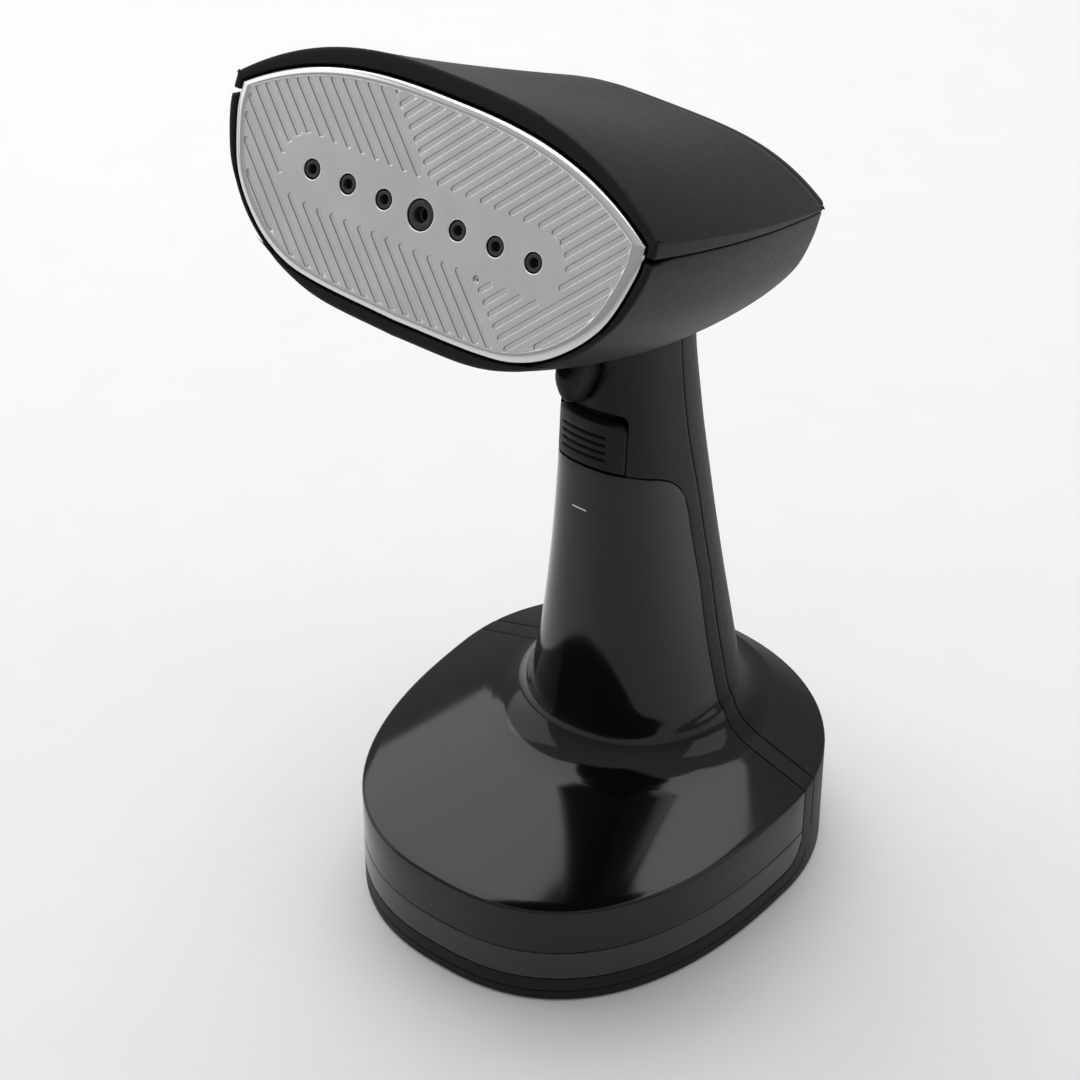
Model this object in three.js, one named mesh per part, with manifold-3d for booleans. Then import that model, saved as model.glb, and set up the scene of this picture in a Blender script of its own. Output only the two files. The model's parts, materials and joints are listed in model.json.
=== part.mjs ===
// Handheld garment steamer standing on its own water-tank base.
// Millimetres, +Z up, -Y is the front (the steam plate faces -Y), +X is the right-hand side.
// The origin is on the ground, under the middle of the whole object's length.
import * as THREE from 'three';
import { mergeVertices } from 'three/addons/utils/BufferGeometryUtils.js';
import Module from 'manifold-3d';

const wasm = await Module();
wasm.setup();

// ---------------------------------------------------------------- driving dimensions
const WALL = 2.4;              // moulded shell thickness
const GAP = 0.3;               // clearance between neighbouring pieces
const FOOT_HEIGHT = 0.5;       // the rim of the base stands this far off the ground

const BASE_HALF_WIDTH = 62.3;
const BASE_WIDEST_Y = 22.1;
const BASE_FRONT_REACH = 88;
const BASE_REAR_REACH = 57.5;
const CREASE_Z = 35.6;         // top edge of the base's vertical wall
const RIM_Z = 3.9;             // top of the rear cover's rim that runs round under the tank
const SHELF_Z = 8.8;           // underside of the tank
const WELD_Z = 19.3;           // seam between the tank's shell and its tray

const COLLAR_Y = 28.8;         // centre of the round collar at the foot of the column
const COLLAR_RADIUS = 43.5;
const TANK_REAR_Y = 30.4;      // tank's back face
const COVER_SEAM_Y = 36.7;     // seam between the front housing and the rear cover
const TANK_TOP_Z = 145.2;      // top of the tank where its sloping edge meets y = 0
const LATCH_HALF_WIDTH = 11.7;
const LATCH_HEIGHT = 15.6;
const LATCH_POCKET = 4.2;      // free height above the latch

const HEAD_TILT = 25.45 * Math.PI / 180;
const HEAD_Y = -65.9;          // middle of the steam plate's hole row
const HEAD_Z = 258.6;
const HEAD_HALF_WIDTH = 66;
const HEAD_CORNER_V = 15.7;    // corners of the head, this far above the hole row
const HEAD_APEX_V = 35;
const HEAD_BOTTOM_V = -31.3;
const BACK_HALF_WIDTH = 51.5;
const BACK_TIP_Z = 230.2;
const BACK_APEX_Z = 243.5;
const BACK_BOTTOM_Z = 170.8;

const HOLE_PITCH = 11.67;
const HOLE_COUNT = 7;
const SMALL_NOZZLE = 2.35;
const CENTRE_NOZZLE = 3.75;

const SLOPE = Math.tan(HEAD_TILT);
const MIDDLE_Y = 1.567;        // middle of the whole object's length, before it is moved to the origin

// ---------------------------------------------------------------- solids from geometry
function solid(geometry) {
  const bare = geometry.clone();
  bare.deleteAttribute('normal');
  bare.deleteAttribute('uv');
  const merged = mergeVertices(bare, 1e-4);
  const triVerts = new Uint32Array(merged.index.array);
  const vertProperties = new Float32Array(merged.attributes.position.array);
  const made = new wasm.Manifold(new wasm.Mesh({ numProp: 3, vertProperties, triVerts }));
  return made.volume() > 0 ? made : solid(turnedOutside(merged));
}

// The same triangles with their faces pointing the other way.
function turnedOutside(geometry) {
  const turned = geometry.clone();
  const index = Array.from(turned.index.array);
  for (let i = 0; i < index.length; i += 3) {
    [index[i], index[i + 1]] = [index[i + 1], index[i]];
  }
  turned.setIndex(index);
  return turned;
}

function geometryOf(manifold) {
  const result = manifold.getMesh();
  const geometry = new THREE.BufferGeometry();
  geometry.setAttribute('position', new THREE.BufferAttribute(new Float32Array(result.vertProperties), 3));
  geometry.setIndex(new THREE.BufferAttribute(new Uint32Array(result.triVerts), 1));
  geometry.computeVertexNormals();
  return geometry;
}

function union(first, ...others) {
  return others.reduce((sum, item) => sum.add(item), first);
}

function cut(first, ...others) {
  return others.reduce((rest, item) => rest.subtract(item), first);
}

// The largest body of a solid, without the specks that a cut can leave.
function mainBody(made) {
  return made.decompose().reduce((best, part) => (part.volume() > best.volume() ? part : best));
}

function block(x0, x1, y0, y1, z0, z1) {
  const box = new THREE.BoxGeometry(x1 - x0, y1 - y0, z1 - z0);
  return solid(box.translate((x0 + x1) / 2, (y0 + y1) / 2, (z0 + z1) / 2));
}

// A round bar from one point to another; the end radius may differ.
function bar(from, to, radius, sides = 20, endRadius = radius) {
  const start = new THREE.Vector3(...from);
  const end = new THREE.Vector3(...to);
  const axis = end.clone().sub(start);
  const cylinder = new THREE.CylinderGeometry(endRadius, radius, axis.length(), sides);
  const up = new THREE.Vector3(0, 1, 0);
  const turn = new THREE.Quaternion().setFromUnitVectors(up, axis.clone().normalize());
  cylinder.applyQuaternion(turn);
  const middle = start.add(end).multiplyScalar(0.5);
  return solid(cylinder.translate(middle.x, middle.y, middle.z));
}

// A closed skin over rings of equal point count, each end closed by a fan round its own middle.
function loft(rings) {
  const count = rings[0].length;
  const points = rings.flat();
  const index = [];
  for (let r = 0; r < rings.length - 1; r += 1) {
    for (let i = 0; i < count; i += 1) {
      const a = r * count + i;
      const b = r * count + (i + 1) % count;
      index.push(a, b, b + count, a, b + count, a + count);
    }
  }
  const middleOf = (ring) => ring.reduce((sum, p) => sum.add(p), new THREE.Vector3()).divideScalar(count);
  const lastStart = (rings.length - 1) * count;
  points.push(middleOf(rings[0]), middleOf(rings.at(-1)));
  for (let i = 0; i < count; i += 1) {
    const j = (i + 1) % count;
    index.push(points.length - 2, j, i);
    index.push(points.length - 1, lastStart + i, lastStart + j);
  }
  const geometry = new THREE.BufferGeometry().setFromPoints(points);
  geometry.setIndex(index);
  return solid(geometry);
}

// A side profile in (y, z) carried across the whole width.
function slab(shape, halfWidth = 90, segments = 4) {
  const geometry = new THREE.ExtrudeGeometry(shape, {
    depth: 2 * halfWidth,
    bevelEnabled: false,
    curveSegments: segments,
  });
  geometry.translate(0, 0, -halfWidth);
  const axes = new THREE.Matrix4().makeBasis(
    new THREE.Vector3(0, 1, 0), new THREE.Vector3(0, 0, 1), new THREE.Vector3(1, 0, 0));
  return solid(geometry.applyMatrix4(axes));
}

function sideShape(points) {
  return new THREE.Shape(points.map(([y, z]) => new THREE.Vector2(y, z)));
}

// A tube of a given section radius swept along a smooth curve.
function tube(points, radius, steps, sides = 8) {
  const circle = new THREE.Shape();
  circle.absarc(0, 0, radius, 0, 2 * Math.PI);
  const path = new THREE.CatmullRomCurve3(points.map((p) => new THREE.Vector3(...p)), false, 'centripetal');
  const options = { steps, extrudePath: path, bevelEnabled: false, curveSegments: sides / 2 };
  return new THREE.ExtrudeGeometry(circle, options);
}

// A closed compression spring standing on Z.
function coilSpring(x, y, z0, z1, radius, wire, turns) {
  const points = [];
  const perTurn = 8;
  for (let i = 0; i <= turns * perTurn; i += 1) {
    const angle = 2 * Math.PI * i / perTurn;
    const height = z0 + wire + (z1 - z0 - 2 * wire) * i / (turns * perTurn);
    points.push([x + radius * Math.cos(angle), y + radius * Math.sin(angle), height]);
  }
  return tube(points, wire, turns * perTurn, 4);
}

// ---------------------------------------------------------------- outer form of base and column
// Each level of the hull: height, centre, half width, reach forwards and backwards, and how square
// the plan is in front and behind (2 is an ellipse).
const baseLevel = (z, inset) => ({
  z,
  cy: BASE_WIDEST_Y,
  half: BASE_HALF_WIDTH - inset,
  front: BASE_FRONT_REACH - inset,
  rear: BASE_REAR_REACH - inset,
  nFront: 2.42,
  nRear: 2.1,
});
const roundLevel = (z, radius) => ({
  z, cy: COLLAR_Y, half: radius, front: radius, rear: radius, nFront: 2, nRear: 2,
});
const columnLevel = (z, cy, half, depth) => ({
  z, cy, half, front: depth, rear: depth, nFront: 2.4, nRear: 2.4,
});

const COLUMN_LEVELS = [
  columnLevel(60, 28.6, 27.9, 30.6),
  columnLevel(75, 28.1, 24.5, 29.7),
  columnLevel(92, 27.2, 21.7, 28.4),
  columnLevel(120, 25.6, 18.3, 26),
  columnLevel(150, 23.6, 15.7, 23.6),
  columnLevel(176, 22.1, 14.4, 22),
  columnLevel(206, 21, 14.4, 22),
];
const HULL_LEVELS = [
  baseLevel(FOOT_HEIGHT, 0.4),
  baseLevel(FOOT_HEIGHT + 0.6, 0),
  baseLevel(CREASE_Z - 1, 0),
  baseLevel(CREASE_Z, 0.9),
  roundLevel(41, COLLAR_RADIUS),
  roundLevel(42.3, 39.6),
  roundLevel(44.8, 35.6),
  roundLevel(48, 32.9),
  roundLevel(51.4, 31.5),
  ...COLUMN_LEVELS,
];
const RING_POINTS = 32;
const INNER_RING_POINTS = 20;

function hullRing(level, inset) {
  const ring = [];
  const count = inset > 1 ? INNER_RING_POINTS : RING_POINTS;
  for (let i = 0; i < count; i += 1) {
    const angle = 2 * Math.PI * i / count;
    const back = Math.sin(angle) > 0;
    const power = 2 / (back ? level.nRear : level.nFront);
    const reach = (back ? level.rear : level.front) - inset;
    const across = Math.sign(Math.cos(angle)) * Math.abs(Math.cos(angle)) ** power;
    const along = Math.sign(Math.sin(angle)) * Math.abs(Math.sin(angle)) ** power;
    ring.push(new THREE.Vector3((level.half - inset) * across, level.cy + reach * along, level.z));
  }
  return ring;
}

// The hull, or the space inside it: an inset also lowers the sloping top of the base.
function hull(inset = 0, levels = HULL_LEVELS) {
  const rings = levels.map((level) => {
    const sloping = level.z >= CREASE_Z - 1 && level.z < 45;
    const lowered = { ...level, z: level.z - (sloping ? inset : 0) };
    return hullRing(lowered, inset);
  });
  return loft(rings);
}

// ---------------------------------------------------------------- seams of base and column
// The tank's side profile. A positive growth gives the space the tank and its clearance need.
function tankRegion(growth) {
  const back = TANK_REAR_Y + growth;
  const floor = SHELF_Z - growth;
  const top = (y) => TANK_TOP_Z + growth - SLOPE * y;
  const corner = 9.5 + growth;
  const topCorner = 7 + growth;
  const shape = new THREE.Shape();
  shape.moveTo(-90, floor);
  shape.lineTo(back - corner, floor);
  shape.absarc(back - corner, floor + corner, corner, -Math.PI / 2, 0);
  shape.lineTo(back, top(back) - topCorner);
  shape.quadraticCurveTo(back, top(back), back - topCorner, top(back - topCorner));
  shape.lineTo(-90, top(-90));
  return slab(shape);
}

// Everything behind the rear seam and below the rim line.
function rearRegion(growth) {
  const front = COVER_SEAM_Y - growth;
  const rim = RIM_Z + growth;
  const corner = 13;
  const shape = new THREE.Shape();
  shape.moveTo(-90, -5);
  shape.lineTo(120, -5);
  shape.lineTo(120, 230);
  shape.lineTo(front, 230);
  shape.lineTo(front, rim + corner);
  shape.absarc(front - corner, rim + corner, corner, 0, -Math.PI / 2, true);
  shape.lineTo(-90, rim);
  return slab(shape);
}

// ---------------------------------------------------------------- outer form of the head
// The head is ruled from a tilted front outline to an upright back outline on the rear seam.
const LOWER_OUTLINE = [
  [1, 0], [0.995, 0.19], [0.92, 0.53], [0.775, 0.78], [0.605, 0.927], [0.4, 0.982], [0, 1],
];
const BACK_OUTLINE = [[1, 0], [0.945, 0.18], [0.845, 0.375], [0.63, 0.61], [0.4, 0.8], [0.2, 0.92], [0, 1]];
const ARCH_STEPS = 8;
const LOWER_STEPS = 8;

const lowerCurve = (outline) => new THREE.SplineCurve(outline.map(([x, y]) => new THREE.Vector2(x, y)));

const CASING_OUTLINE = [
  [1, 0], [0.998, 0.19], [0.947, 0.424], [0.885, 0.565], [0.804, 0.697],
  [0.695, 0.814], [0.554, 0.915], [0.35, 0.983],
  [0, 1],
];

// One ring, anticlockwise from the right corner over the arch and back underneath.
function headOutline(half, corner, apex, bottom, archPower, outline) {
  const points = [];
  for (let i = 0; i < 2 * ARCH_STEPS; i += 1) {
    const x = Math.cos(Math.PI * i / (2 * ARCH_STEPS));
    points.push([half * x, corner + (apex - corner) * (1 - Math.abs(x) ** archPower)]);
  }
  const curve = lowerCurve(outline);
  const side = [];
  for (let i = 0; i <= LOWER_STEPS; i += 1) {
    const p = curve.getPointAt(i / LOWER_STEPS);
    side.push([half * p.x, corner + (bottom - corner) * p.y]);
  }
  const left = side.slice(0, LOWER_STEPS).map(([x, y]) => [-x, y]);
  return [...points, ...left, ...side.slice(1).reverse()];
}

// Moves an outline inwards by a wall thickness, along its own normals.
function insetOutline(points, amount) {
  const count = points.length;
  return points.map(([x, y], i) => {
    const [px, py] = points[(i + count - 1) % count];
    const [nx, ny] = points[(i + 1) % count];
    const length = Math.hypot(nx - px, ny - py);
    return [x - amount * (ny - py) / length, y + amount * (nx - px) / length];
  });
}

// A point of the head's own tilted frame: across, up along the plate, and back from it.
const onHead = (u, up, back) => new THREE.Vector3(
  u,
  HEAD_Y + up * Math.sin(HEAD_TILT) + back * Math.cos(HEAD_TILT),
  HEAD_Z + up * Math.cos(HEAD_TILT) - back * Math.sin(HEAD_TILT));

const frontOutline = headOutline(
  HEAD_HALF_WIDTH, HEAD_CORNER_V, HEAD_APEX_V, HEAD_BOTTOM_V, 2.75, CASING_OUTLINE);
const backOutline = headOutline(BACK_HALF_WIDTH, BACK_TIP_Z, BACK_APEX_Z, BACK_BOTTOM_Z, 3.4, BACK_OUTLINE);
const HEAD_BULGE = 3.6;
const HEAD_RINGS = 5;

function headForm(inset, startBack = 1.2) {
  const front = insetOutline(frontOutline, inset).map(([u, up]) => onHead(u, up, startBack));
  const back = insetOutline(backOutline, inset).map(([x, z]) => new THREE.Vector3(x, COVER_SEAM_Y - GAP, z));
  const rings = [];
  for (let r = 0; r <= HEAD_RINGS; r += 1) {
    const s = r / HEAD_RINGS;
    const swell = 4 * HEAD_BULGE * s * (1 - s);
    rings.push(front.map((p, i) => {
      const point = p.clone().lerp(back[i], s);
      point.x *= 1 + swell / HEAD_HALF_WIDTH;
      point.z -= swell * Math.abs(lowerShare(i));
      return point;
    }));
  }
  return loft(rings);
}

// How far a ring point lies towards the keel of the lower casing: 0 at the corners, 1 at the bottom.
function lowerShare(i) {
  const [, up] = frontOutline[i];
  return (HEAD_CORNER_V - up) / (HEAD_CORNER_V - HEAD_BOTTOM_V);
}

// The head's outline on the rear seam, or a smaller one of the same form.
function backShape(shrink) {
  return headOutline(
    BACK_HALF_WIDTH - 1.3 * shrink, BACK_TIP_Z - 0.3 * shrink, BACK_APEX_Z - shrink,
    BACK_BOTTOM_Z + 1.4 * shrink, 3.4, BACK_OUTLINE);
}

// The bulged back of the rear cover behind the head.
function headBack(inset, depth) {
  const steps = 4;
  const rings = [];
  for (let r = 0; r <= steps; r += 1) {
    const s = r / steps;
    const y = COVER_SEAM_Y + depth * Math.sin(s * Math.PI / 2);
    const shrink = inset + 0.4 + 10 * (1 - Math.cos(s * Math.PI / 2)) + 4 * s;
    rings.push(backShape(shrink).map(([x, z]) => new THREE.Vector3(x, y, z)));
  }
  return loft(rings);
}

// The plane that parts the top cover from the lower casing, as a half space above it.
function aboveCoverSeam(offset) {
  const frontEdge = onHead(0, HEAD_CORNER_V - 4.6, 0);
  const slope = (frontEdge.z - BACK_TIP_Z + 1.4) / (COVER_SEAM_Y - frontEdge.y);
  const heightAt = (y) => frontEdge.z + offset - slope * (y - frontEdge.y);
  return slab(sideShape([[-130, heightAt(-130)], [130, heightAt(130)], [130, 400], [-130, 400]]));
}

// A slab of the head between two depths behind the plate, from an outline in the plate's plane.
function headPlate(outline, fromBack, toBack) {
  const rings = [fromBack, toBack].map((back) => outline.map(([u, up]) => onHead(u, up, back)));
  return loft(rings);
}

// ---------------------------------------------------------------- steam plate and its neighbours
const plateOutline = plateShape(0);

// The plate's outline, or a smaller one of the same form.
function plateShape(shrink) {
  return headOutline(
    63.2 - 1.35 * shrink, 13.9 - 0.2 * shrink, 29.6 - shrink, -27.6 + shrink, 2.75, LOWER_OUTLINE);
}

function holeRadius(i) {
  return i === (HOLE_COUNT - 1) / 2 ? CENTRE_NOZZLE : SMALL_NOZZLE;
}

function holeAt(i) {
  return HOLE_PITCH * (i - (HOLE_COUNT - 1) / 2);
}

function plateHoles(clearance, from, to) {
  return Array.from({ length: HOLE_COUNT }, (_, i) => {
    const a = onHead(holeAt(i), 0, from);
    const b = onHead(holeAt(i), 0, to);
    return bar(a.toArray(), b.toArray(), holeRadius(i) + clearance, 12);
  });
}

function steamPlate() {
  const rings = [[2.6, 2.4], [0, 2.4], [0, 1.6], [1.1, 0.2], [2.2, 0]];
  const body = loft(rings.map(([inset, back]) => (
    insetOutline(plateOutline, inset).map(([u, up]) => onHead(u, up, back)))));
  return cut(body, ...plateHoles(GAP, -2, 6));
}

function nozzle(i) {
  const radius = holeRadius(i);
  const bore = radius * 0.56;
  const profile = [[bore, 9], [radius, 9], [radius, 0.7], [radius - 0.35, 0.35], [bore, 0.35], [bore, 9]];
  const ring = new THREE.LatheGeometry(profile.map(([x, y]) => new THREE.Vector2(x, y)), 12);
  return placeOnHead(ring, holeAt(i), 0);
}

// Puts a shape turned round +Y (its +Y pointing back from the plate) at a place on the head.
function placeOnHead(geometry, u, up) {
  const turn = new THREE.Matrix4().makeRotationX(-HEAD_TILT);
  const place = onHead(u, up, 0);
  geometry.applyMatrix4(turn);
  return solid(geometry.translate(place.x, place.y, place.z));
}

const CHAMBER_BACK = 22;

function plateGasket() {
  return cut(headPlate(plateShape(5), 2.7, 3.6), headPlate(plateShape(10), 1, 5));
}

function steamChamber() {
  const body = headPlate(plateShape(5.5), 3.9, CHAMBER_BACK);
  const hollow = headPlate(plateShape(9.5), 9.4, CHAMBER_BACK + 2);
  const ribs = [-24, -12, 12, 24].map((u, i) => {
    const shift = i % 2 === 0 ? -0.6 : 1;
    return headBox(u - 1, u + 1, -4 + shift, 7 + shift, 9, CHAMBER_BACK - 0.6);
  });
  const screwPosts = CHAMBER_SCREWS.map(([u, up]) => headBar(u, up, 9, CHAMBER_BACK - 0.4, 3.6, 8));
  const screwHoles = CHAMBER_SCREWS.map(([u, up]) => headBar(u, up, 11.5, CHAMBER_BACK + 2, 1.9, 6));
  const posts = union(cut(body, hollow), ...ribs, ...screwPosts);
  return cut(posts, ...plateHoles(GAP, 0, 12), ...screwHoles);
}

const CHAMBER_SCREWS = [[-46, 8], [46, 8], [-24, -16], [24, -16]];

function headBox(u0, u1, up0, up1, back0, back1) {
  const corners = [[u0, up0], [u1, up0], [u1, up1], [u0, up1]];
  return headPlate(corners, back0, back1);
}

function headBar(u, up, from, to, radius, sides = 14) {
  return bar(onHead(u, up, from).toArray(), onHead(u, up, to).toArray(), radius, sides);
}

const ELEMENT_LOOP = [[-30, 12], [-40, 3], [-32, -8], [0, -8.6], [32, -8], [40, 3], [30, 12]];
const ELEMENT_RADIUS = 2.6;
const ELEMENT_BACK = 15.5;

function chamberLid() {
  const plate = headPlate(plateShape(5.9), CHAMBER_BACK + GAP, CHAMBER_BACK + 2.8);
  const holes = CHAMBER_SCREWS.map(([u, up]) => headBar(u, up, CHAMBER_BACK - 1, CHAMBER_BACK + 4, 1.9));
  const inlet = headBar(0, -4, CHAMBER_BACK - 1, CHAMBER_BACK + 4, 3.1);
  const exits = [-8, 8].map((u) => headBar(u, 12, CHAMBER_BACK - 1, CHAMBER_BACK + 4, ELEMENT_RADIUS + 0.6));
  return cut(plate, ...holes, inlet, ...exits);
}

// The element's centre line: in through the lid, once round the chamber and out again.
function elementTube(radius, steps, sides) {
  const loop = ELEMENT_LOOP.map(([u, up]) => onHead(u, up, ELEMENT_BACK).toArray());
  const end = (u, back) => onHead(u, 12, back).toArray();
  const rise = [end(-8, CHAMBER_BACK + 9), end(-8, CHAMBER_BACK), end(-11, ELEMENT_BACK + 1)];
  const fall = [end(11, ELEMENT_BACK + 1), end(8, CHAMBER_BACK), end(8, CHAMBER_BACK + 9)];
  return tube([...rise, ...loop, ...fall], radius, steps, sides);
}

function chamberScrew([u, up]) {
  return union(
    headBar(u, up, 12.2, CHAMBER_BACK + 3.2, 1.5, 6),
    headBar(u, up, CHAMBER_BACK + 3.1, CHAMBER_BACK + 5, 3, 6));
}

function thermostat() {
  const disc = headBar(-28, 2, CHAMBER_BACK + 3.1, CHAMBER_BACK + 7, 7.5, 20);
  return union(disc, headBar(-28, 2, CHAMBER_BACK + 6.5, CHAMBER_BACK + 10, 4.5, 14));
}

function thermalFuse() {
  const a = onHead(18, -2, CHAMBER_BACK + 5.6).toArray();
  const b = onHead(34, -2, CHAMBER_BACK + 5.6).toArray();
  return bar(a, b, 2.3, 10);
}

function heatShield() {
  const outer = headPlate(plateShape(3.8), 6, CHAMBER_BACK + 12.6);
  const inner = headPlate(plateShape(4.8), 5, CHAMBER_BACK + 11.8);
  const passages = [[0, -4, 3.6], [-12, 4, 3.4]].map(([u, up, radius]) => (
    headBar(u, up, CHAMBER_BACK + 10, CHAMBER_BACK + 15, radius, 12)));
  return cut(outer, inner, ...passages);
}

// ---------------------------------------------------------------- head covers
const HEAD_WALL = 2.2;

function headCavity() {
  const mouth = headPlate(insetOutline(plateOutline, -0.5), -6, 5);
  const passage = headPlate(insetOutline(plateOutline, -0.3), 4, 9);
  return union(headForm(HEAD_WALL, 6), mouth, passage, backOpening());
}

// Opens the head's cavity through the rear seam, where the rear cover closes it.
function backOpening() {
  const outline = insetOutline(backOutline, HEAD_WALL);
  const rings = [COVER_SEAM_Y - 4, COVER_SEAM_Y + 3].map((y) => (
    outline.map(([x, z]) => new THREE.Vector3(x, y, z))));
  return loft(rings);
}

function neckSpace(growth) {
  return hull(-growth, COLUMN_LEVELS.slice(-3));
}

const headShell = cut(headForm(0), headCavity());

function topCover() {
  return mainBody(headShell.intersect(aboveCoverSeam(GAP)));
}

function headCasing() {
  return mainBody(cut(headShell, aboveCoverSeam(0), neckSpace(GAP)));
}

// ---------------------------------------------------------------- trigger
const TRIGGER_HALF = 5.6;
const TRIGGER_PIVOT_Y = 9;
const TRIGGER_PIVOT_Z = 187;
const PIN_RADIUS = 1.5;

/** Bar of the given half length and radius on the trigger's axis. */
function alongPin(half, radius) {
  return bar([-half, TRIGGER_PIVOT_Y, TRIGGER_PIVOT_Z], [half, TRIGGER_PIVOT_Y, TRIGGER_PIVOT_Z], radius, 14);
}
const TRIGGER_SLOT_HALF = 6.3;

// Front view of the slot in the handle: straight sides that run down to a rounded point.
function triggerSlot(inset = 0, raise = 0) {
  const half = TRIGGER_SLOT_HALF - inset;
  const shape = new THREE.Shape();
  shape.moveTo(-half, 200);
  shape.lineTo(-half, 178 + raise);
  shape.quadraticCurveTo(-half, 170 + raise, 0, 166.4 + raise);
  shape.quadraticCurveTo(half, 170 + raise, half, 178 + raise);
  shape.lineTo(half, 200);
  const geometry = new THREE.ExtrudeGeometry(shape, { depth: 24, bevelEnabled: false, curveSegments: 6 });
  const axes = new THREE.Matrix4().makeBasis(
    new THREE.Vector3(1, 0, 0), new THREE.Vector3(0, 0, 1), new THREE.Vector3(0, -1, 0));
  return solid(geometry.applyMatrix4(axes).translate(0, 6, 0));
}

function trigger() {
  const side = new THREE.Shape();
  side.moveTo(-4.5, 184.6);
  side.quadraticCurveTo(-4.6, 181.4, -7.2, 181.6);
  side.quadraticCurveTo(-9.6, 176.6, -6.4, 172.6);
  side.quadraticCurveTo(-3.4, 169.8, 3, 170.2);
  side.lineTo(6, 174);
  side.lineTo(7, 181);
  side.lineTo(20, 183.2);
  side.lineTo(20, 186);
  side.lineTo(12, 189.6);
  side.lineTo(6, 189.6);
  const geometry = new THREE.ExtrudeGeometry(side, {
    depth: 2 * TRIGGER_HALF - 2.4,
    bevelThickness: 1.2,
    bevelSize: 1.1,
    bevelOffset: -1.1,
    bevelSegments: 2,
    curveSegments: 6,
  });
  geometry.translate(0, 0, -TRIGGER_HALF + 1.2);
  const axes = new THREE.Matrix4().makeBasis(
    new THREE.Vector3(0, 1, 0), new THREE.Vector3(0, 0, 1), new THREE.Vector3(1, 0, 0));
  const body = solid(geometry.applyMatrix4(axes));
  const scoop = new THREE.SphereGeometry(1, 16, 10).scale(4, 4.4, 4.6).translate(0, -7.6, 183.4);
  const fitting = union(triggerSlot(0.7, 3.2), block(-9, 9, 5.9, 30, 160, 200));
  const pinHole = alongPin(9, PIN_RADIUS + 0.05);
  return cut(body.intersect(fitting), solid(scoop), pinHole);
}

// ---------------------------------------------------------------- latch
const latchTop = (y) => TANK_TOP_Z + GAP + LATCH_HEIGHT - SLOPE * y;

function latchWindow(growth, raise) {
  const bottom = (y) => TANK_TOP_Z - 0.1 - SLOPE * y;
  const profile = sideShape([
    [-20, bottom(-20)], [17, bottom(17)], [17, latchTop(17) + raise], [-20, latchTop(-20) + raise],
  ]);
  return slab(profile, LATCH_HALF_WIDTH + growth);
}

function latchButton() {
  const bottom = (y) => TANK_TOP_Z + GAP - SLOPE * y;
  const profile = sideShape([[-20, bottom(-20)], [9, bottom(9)], [9, latchTop(9)], [-20, latchTop(-20)]]);
  const face = hull(0, COLUMN_LEVELS).intersect(slab(profile, LATCH_HALF_WIDTH - GAP));
  const grooves = [0, 1, 2, 3, 4].map((i) => {
    const z = TANK_TOP_Z + 3 + 2.3 * i;
    const drop = 21 * SLOPE;
    const profileLine = sideShape([[-9, z + 4.3], [-9, z + 5.2], [12, z + 5.2 - drop], [12, z + 4.3 - drop]]);
    return cut(slab(profileLine, 7.6), hull(0.7, COLUMN_LEVELS));
  });
  const carrier = block(-7, 7, 1.6, 11, 146, 153.6).intersect(hull(1, COLUMN_LEVELS));
  const bolt = block(-3, 3, 6, 9, 139.6, 147);
  return cut(union(cut(face, hull(WALL, COLUMN_LEVELS)), carrier, bolt), ...grooves);
}

// ---------------------------------------------------------------- front housing
const HOUSING_TOP_AT_FRONT = 202;
const COVER_SCREWS = [[0, 92], [0, 152], [-46, 22], [46, 22]];
const BASE_SCREWS = [[-30, -22], [30, -22], [-46, 14], [46, 14]];
const VALVE_Z = 25;
const PLUG_Z = 120;

function belowNeckTop() {
  const height = (y) => HOUSING_TOP_AT_FRONT - 0.42 * y;
  return slab(sideShape([[-90, -5], [130, -5], [130, height(130)], [-90, height(-90)]]));
}

function frontHousing() {
  const outer = cut(hull(), tankRegion(0), rearRegion(GAP)).intersect(belowNeckTop());
  const skin = cut(outer, cut(hull(WALL), tankRegion(WALL)));
  const bosses = COVER_SCREWS.map(([x, z]) => bar([x, TANK_REAR_Y + 1, z], [x, 43, z], 3.6, 12));
  const bossHoles = COVER_SCREWS.map(([x, z]) => bar([x, TANK_REAR_Y + 1.8, z], [x, 50, z], 1.7, 8));
  const lowBosses = BASE_SCREWS.map(([x, y]) => bar([x, y, RIM_Z + 0.4], [x, y, SHELF_Z - 0.6], 3.6, 12));
  const lowHoles = BASE_SCREWS.map(([x, y]) => bar([x, y, -2], [x, y, SHELF_Z - 1.2], 1.7, 8));
  const springShelf = block(-13, 13, 3, 12, 163.6, 165.2).intersect(hull(1));
  const triggerShelf = block(-13, 13, 12, 24, 195, 196.6).intersect(hull(1));
  const crossBar = block(-16, 16, TANK_REAR_Y, TANK_REAR_Y + WALL, 147, 157).intersect(hull(1));
  const cheeks = [-1, 1].map((side) => cheek(side));
  const pocket = bar([0, TANK_REAR_Y + 0.5, PLUG_Z], [0, 43.4, PLUG_Z], 8.5, 20);
  const solids = union(skin, ...bosses, ...lowBosses, springShelf, triggerShelf, crossBar, ...cheeks, pocket);
  return cut(
    solids, ...bossHoles, ...lowHoles, latchWindow(0, LATCH_POCKET), triggerSlot(), pinBore(),
    plugPocket(), valveHole());
}

// The ears inside the handle that carry the trigger's pin.
function cheek(side) {
  const from = TRIGGER_SLOT_HALF * side;
  const to = 13.4 * side;
  const ear = block(Math.min(from, to), Math.max(from, to), 4, 14, 183, 191);
  return ear.intersect(hull(1));
}

function pinBore() {
  return alongPin(11.4, PIN_RADIUS + GAP);
}

function valveHole() {
  return bar([0, 25, VALVE_Z], [0, 40, VALVE_Z], 3.6, 16);
}

// The blind pocket in the housing that leaves room for the filler plug behind the tank.
function plugPocket() {
  return bar([0, TANK_REAR_Y - 2, PLUG_Z], [0, 42.2, PLUG_Z], 7.3, 20);
}

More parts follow.
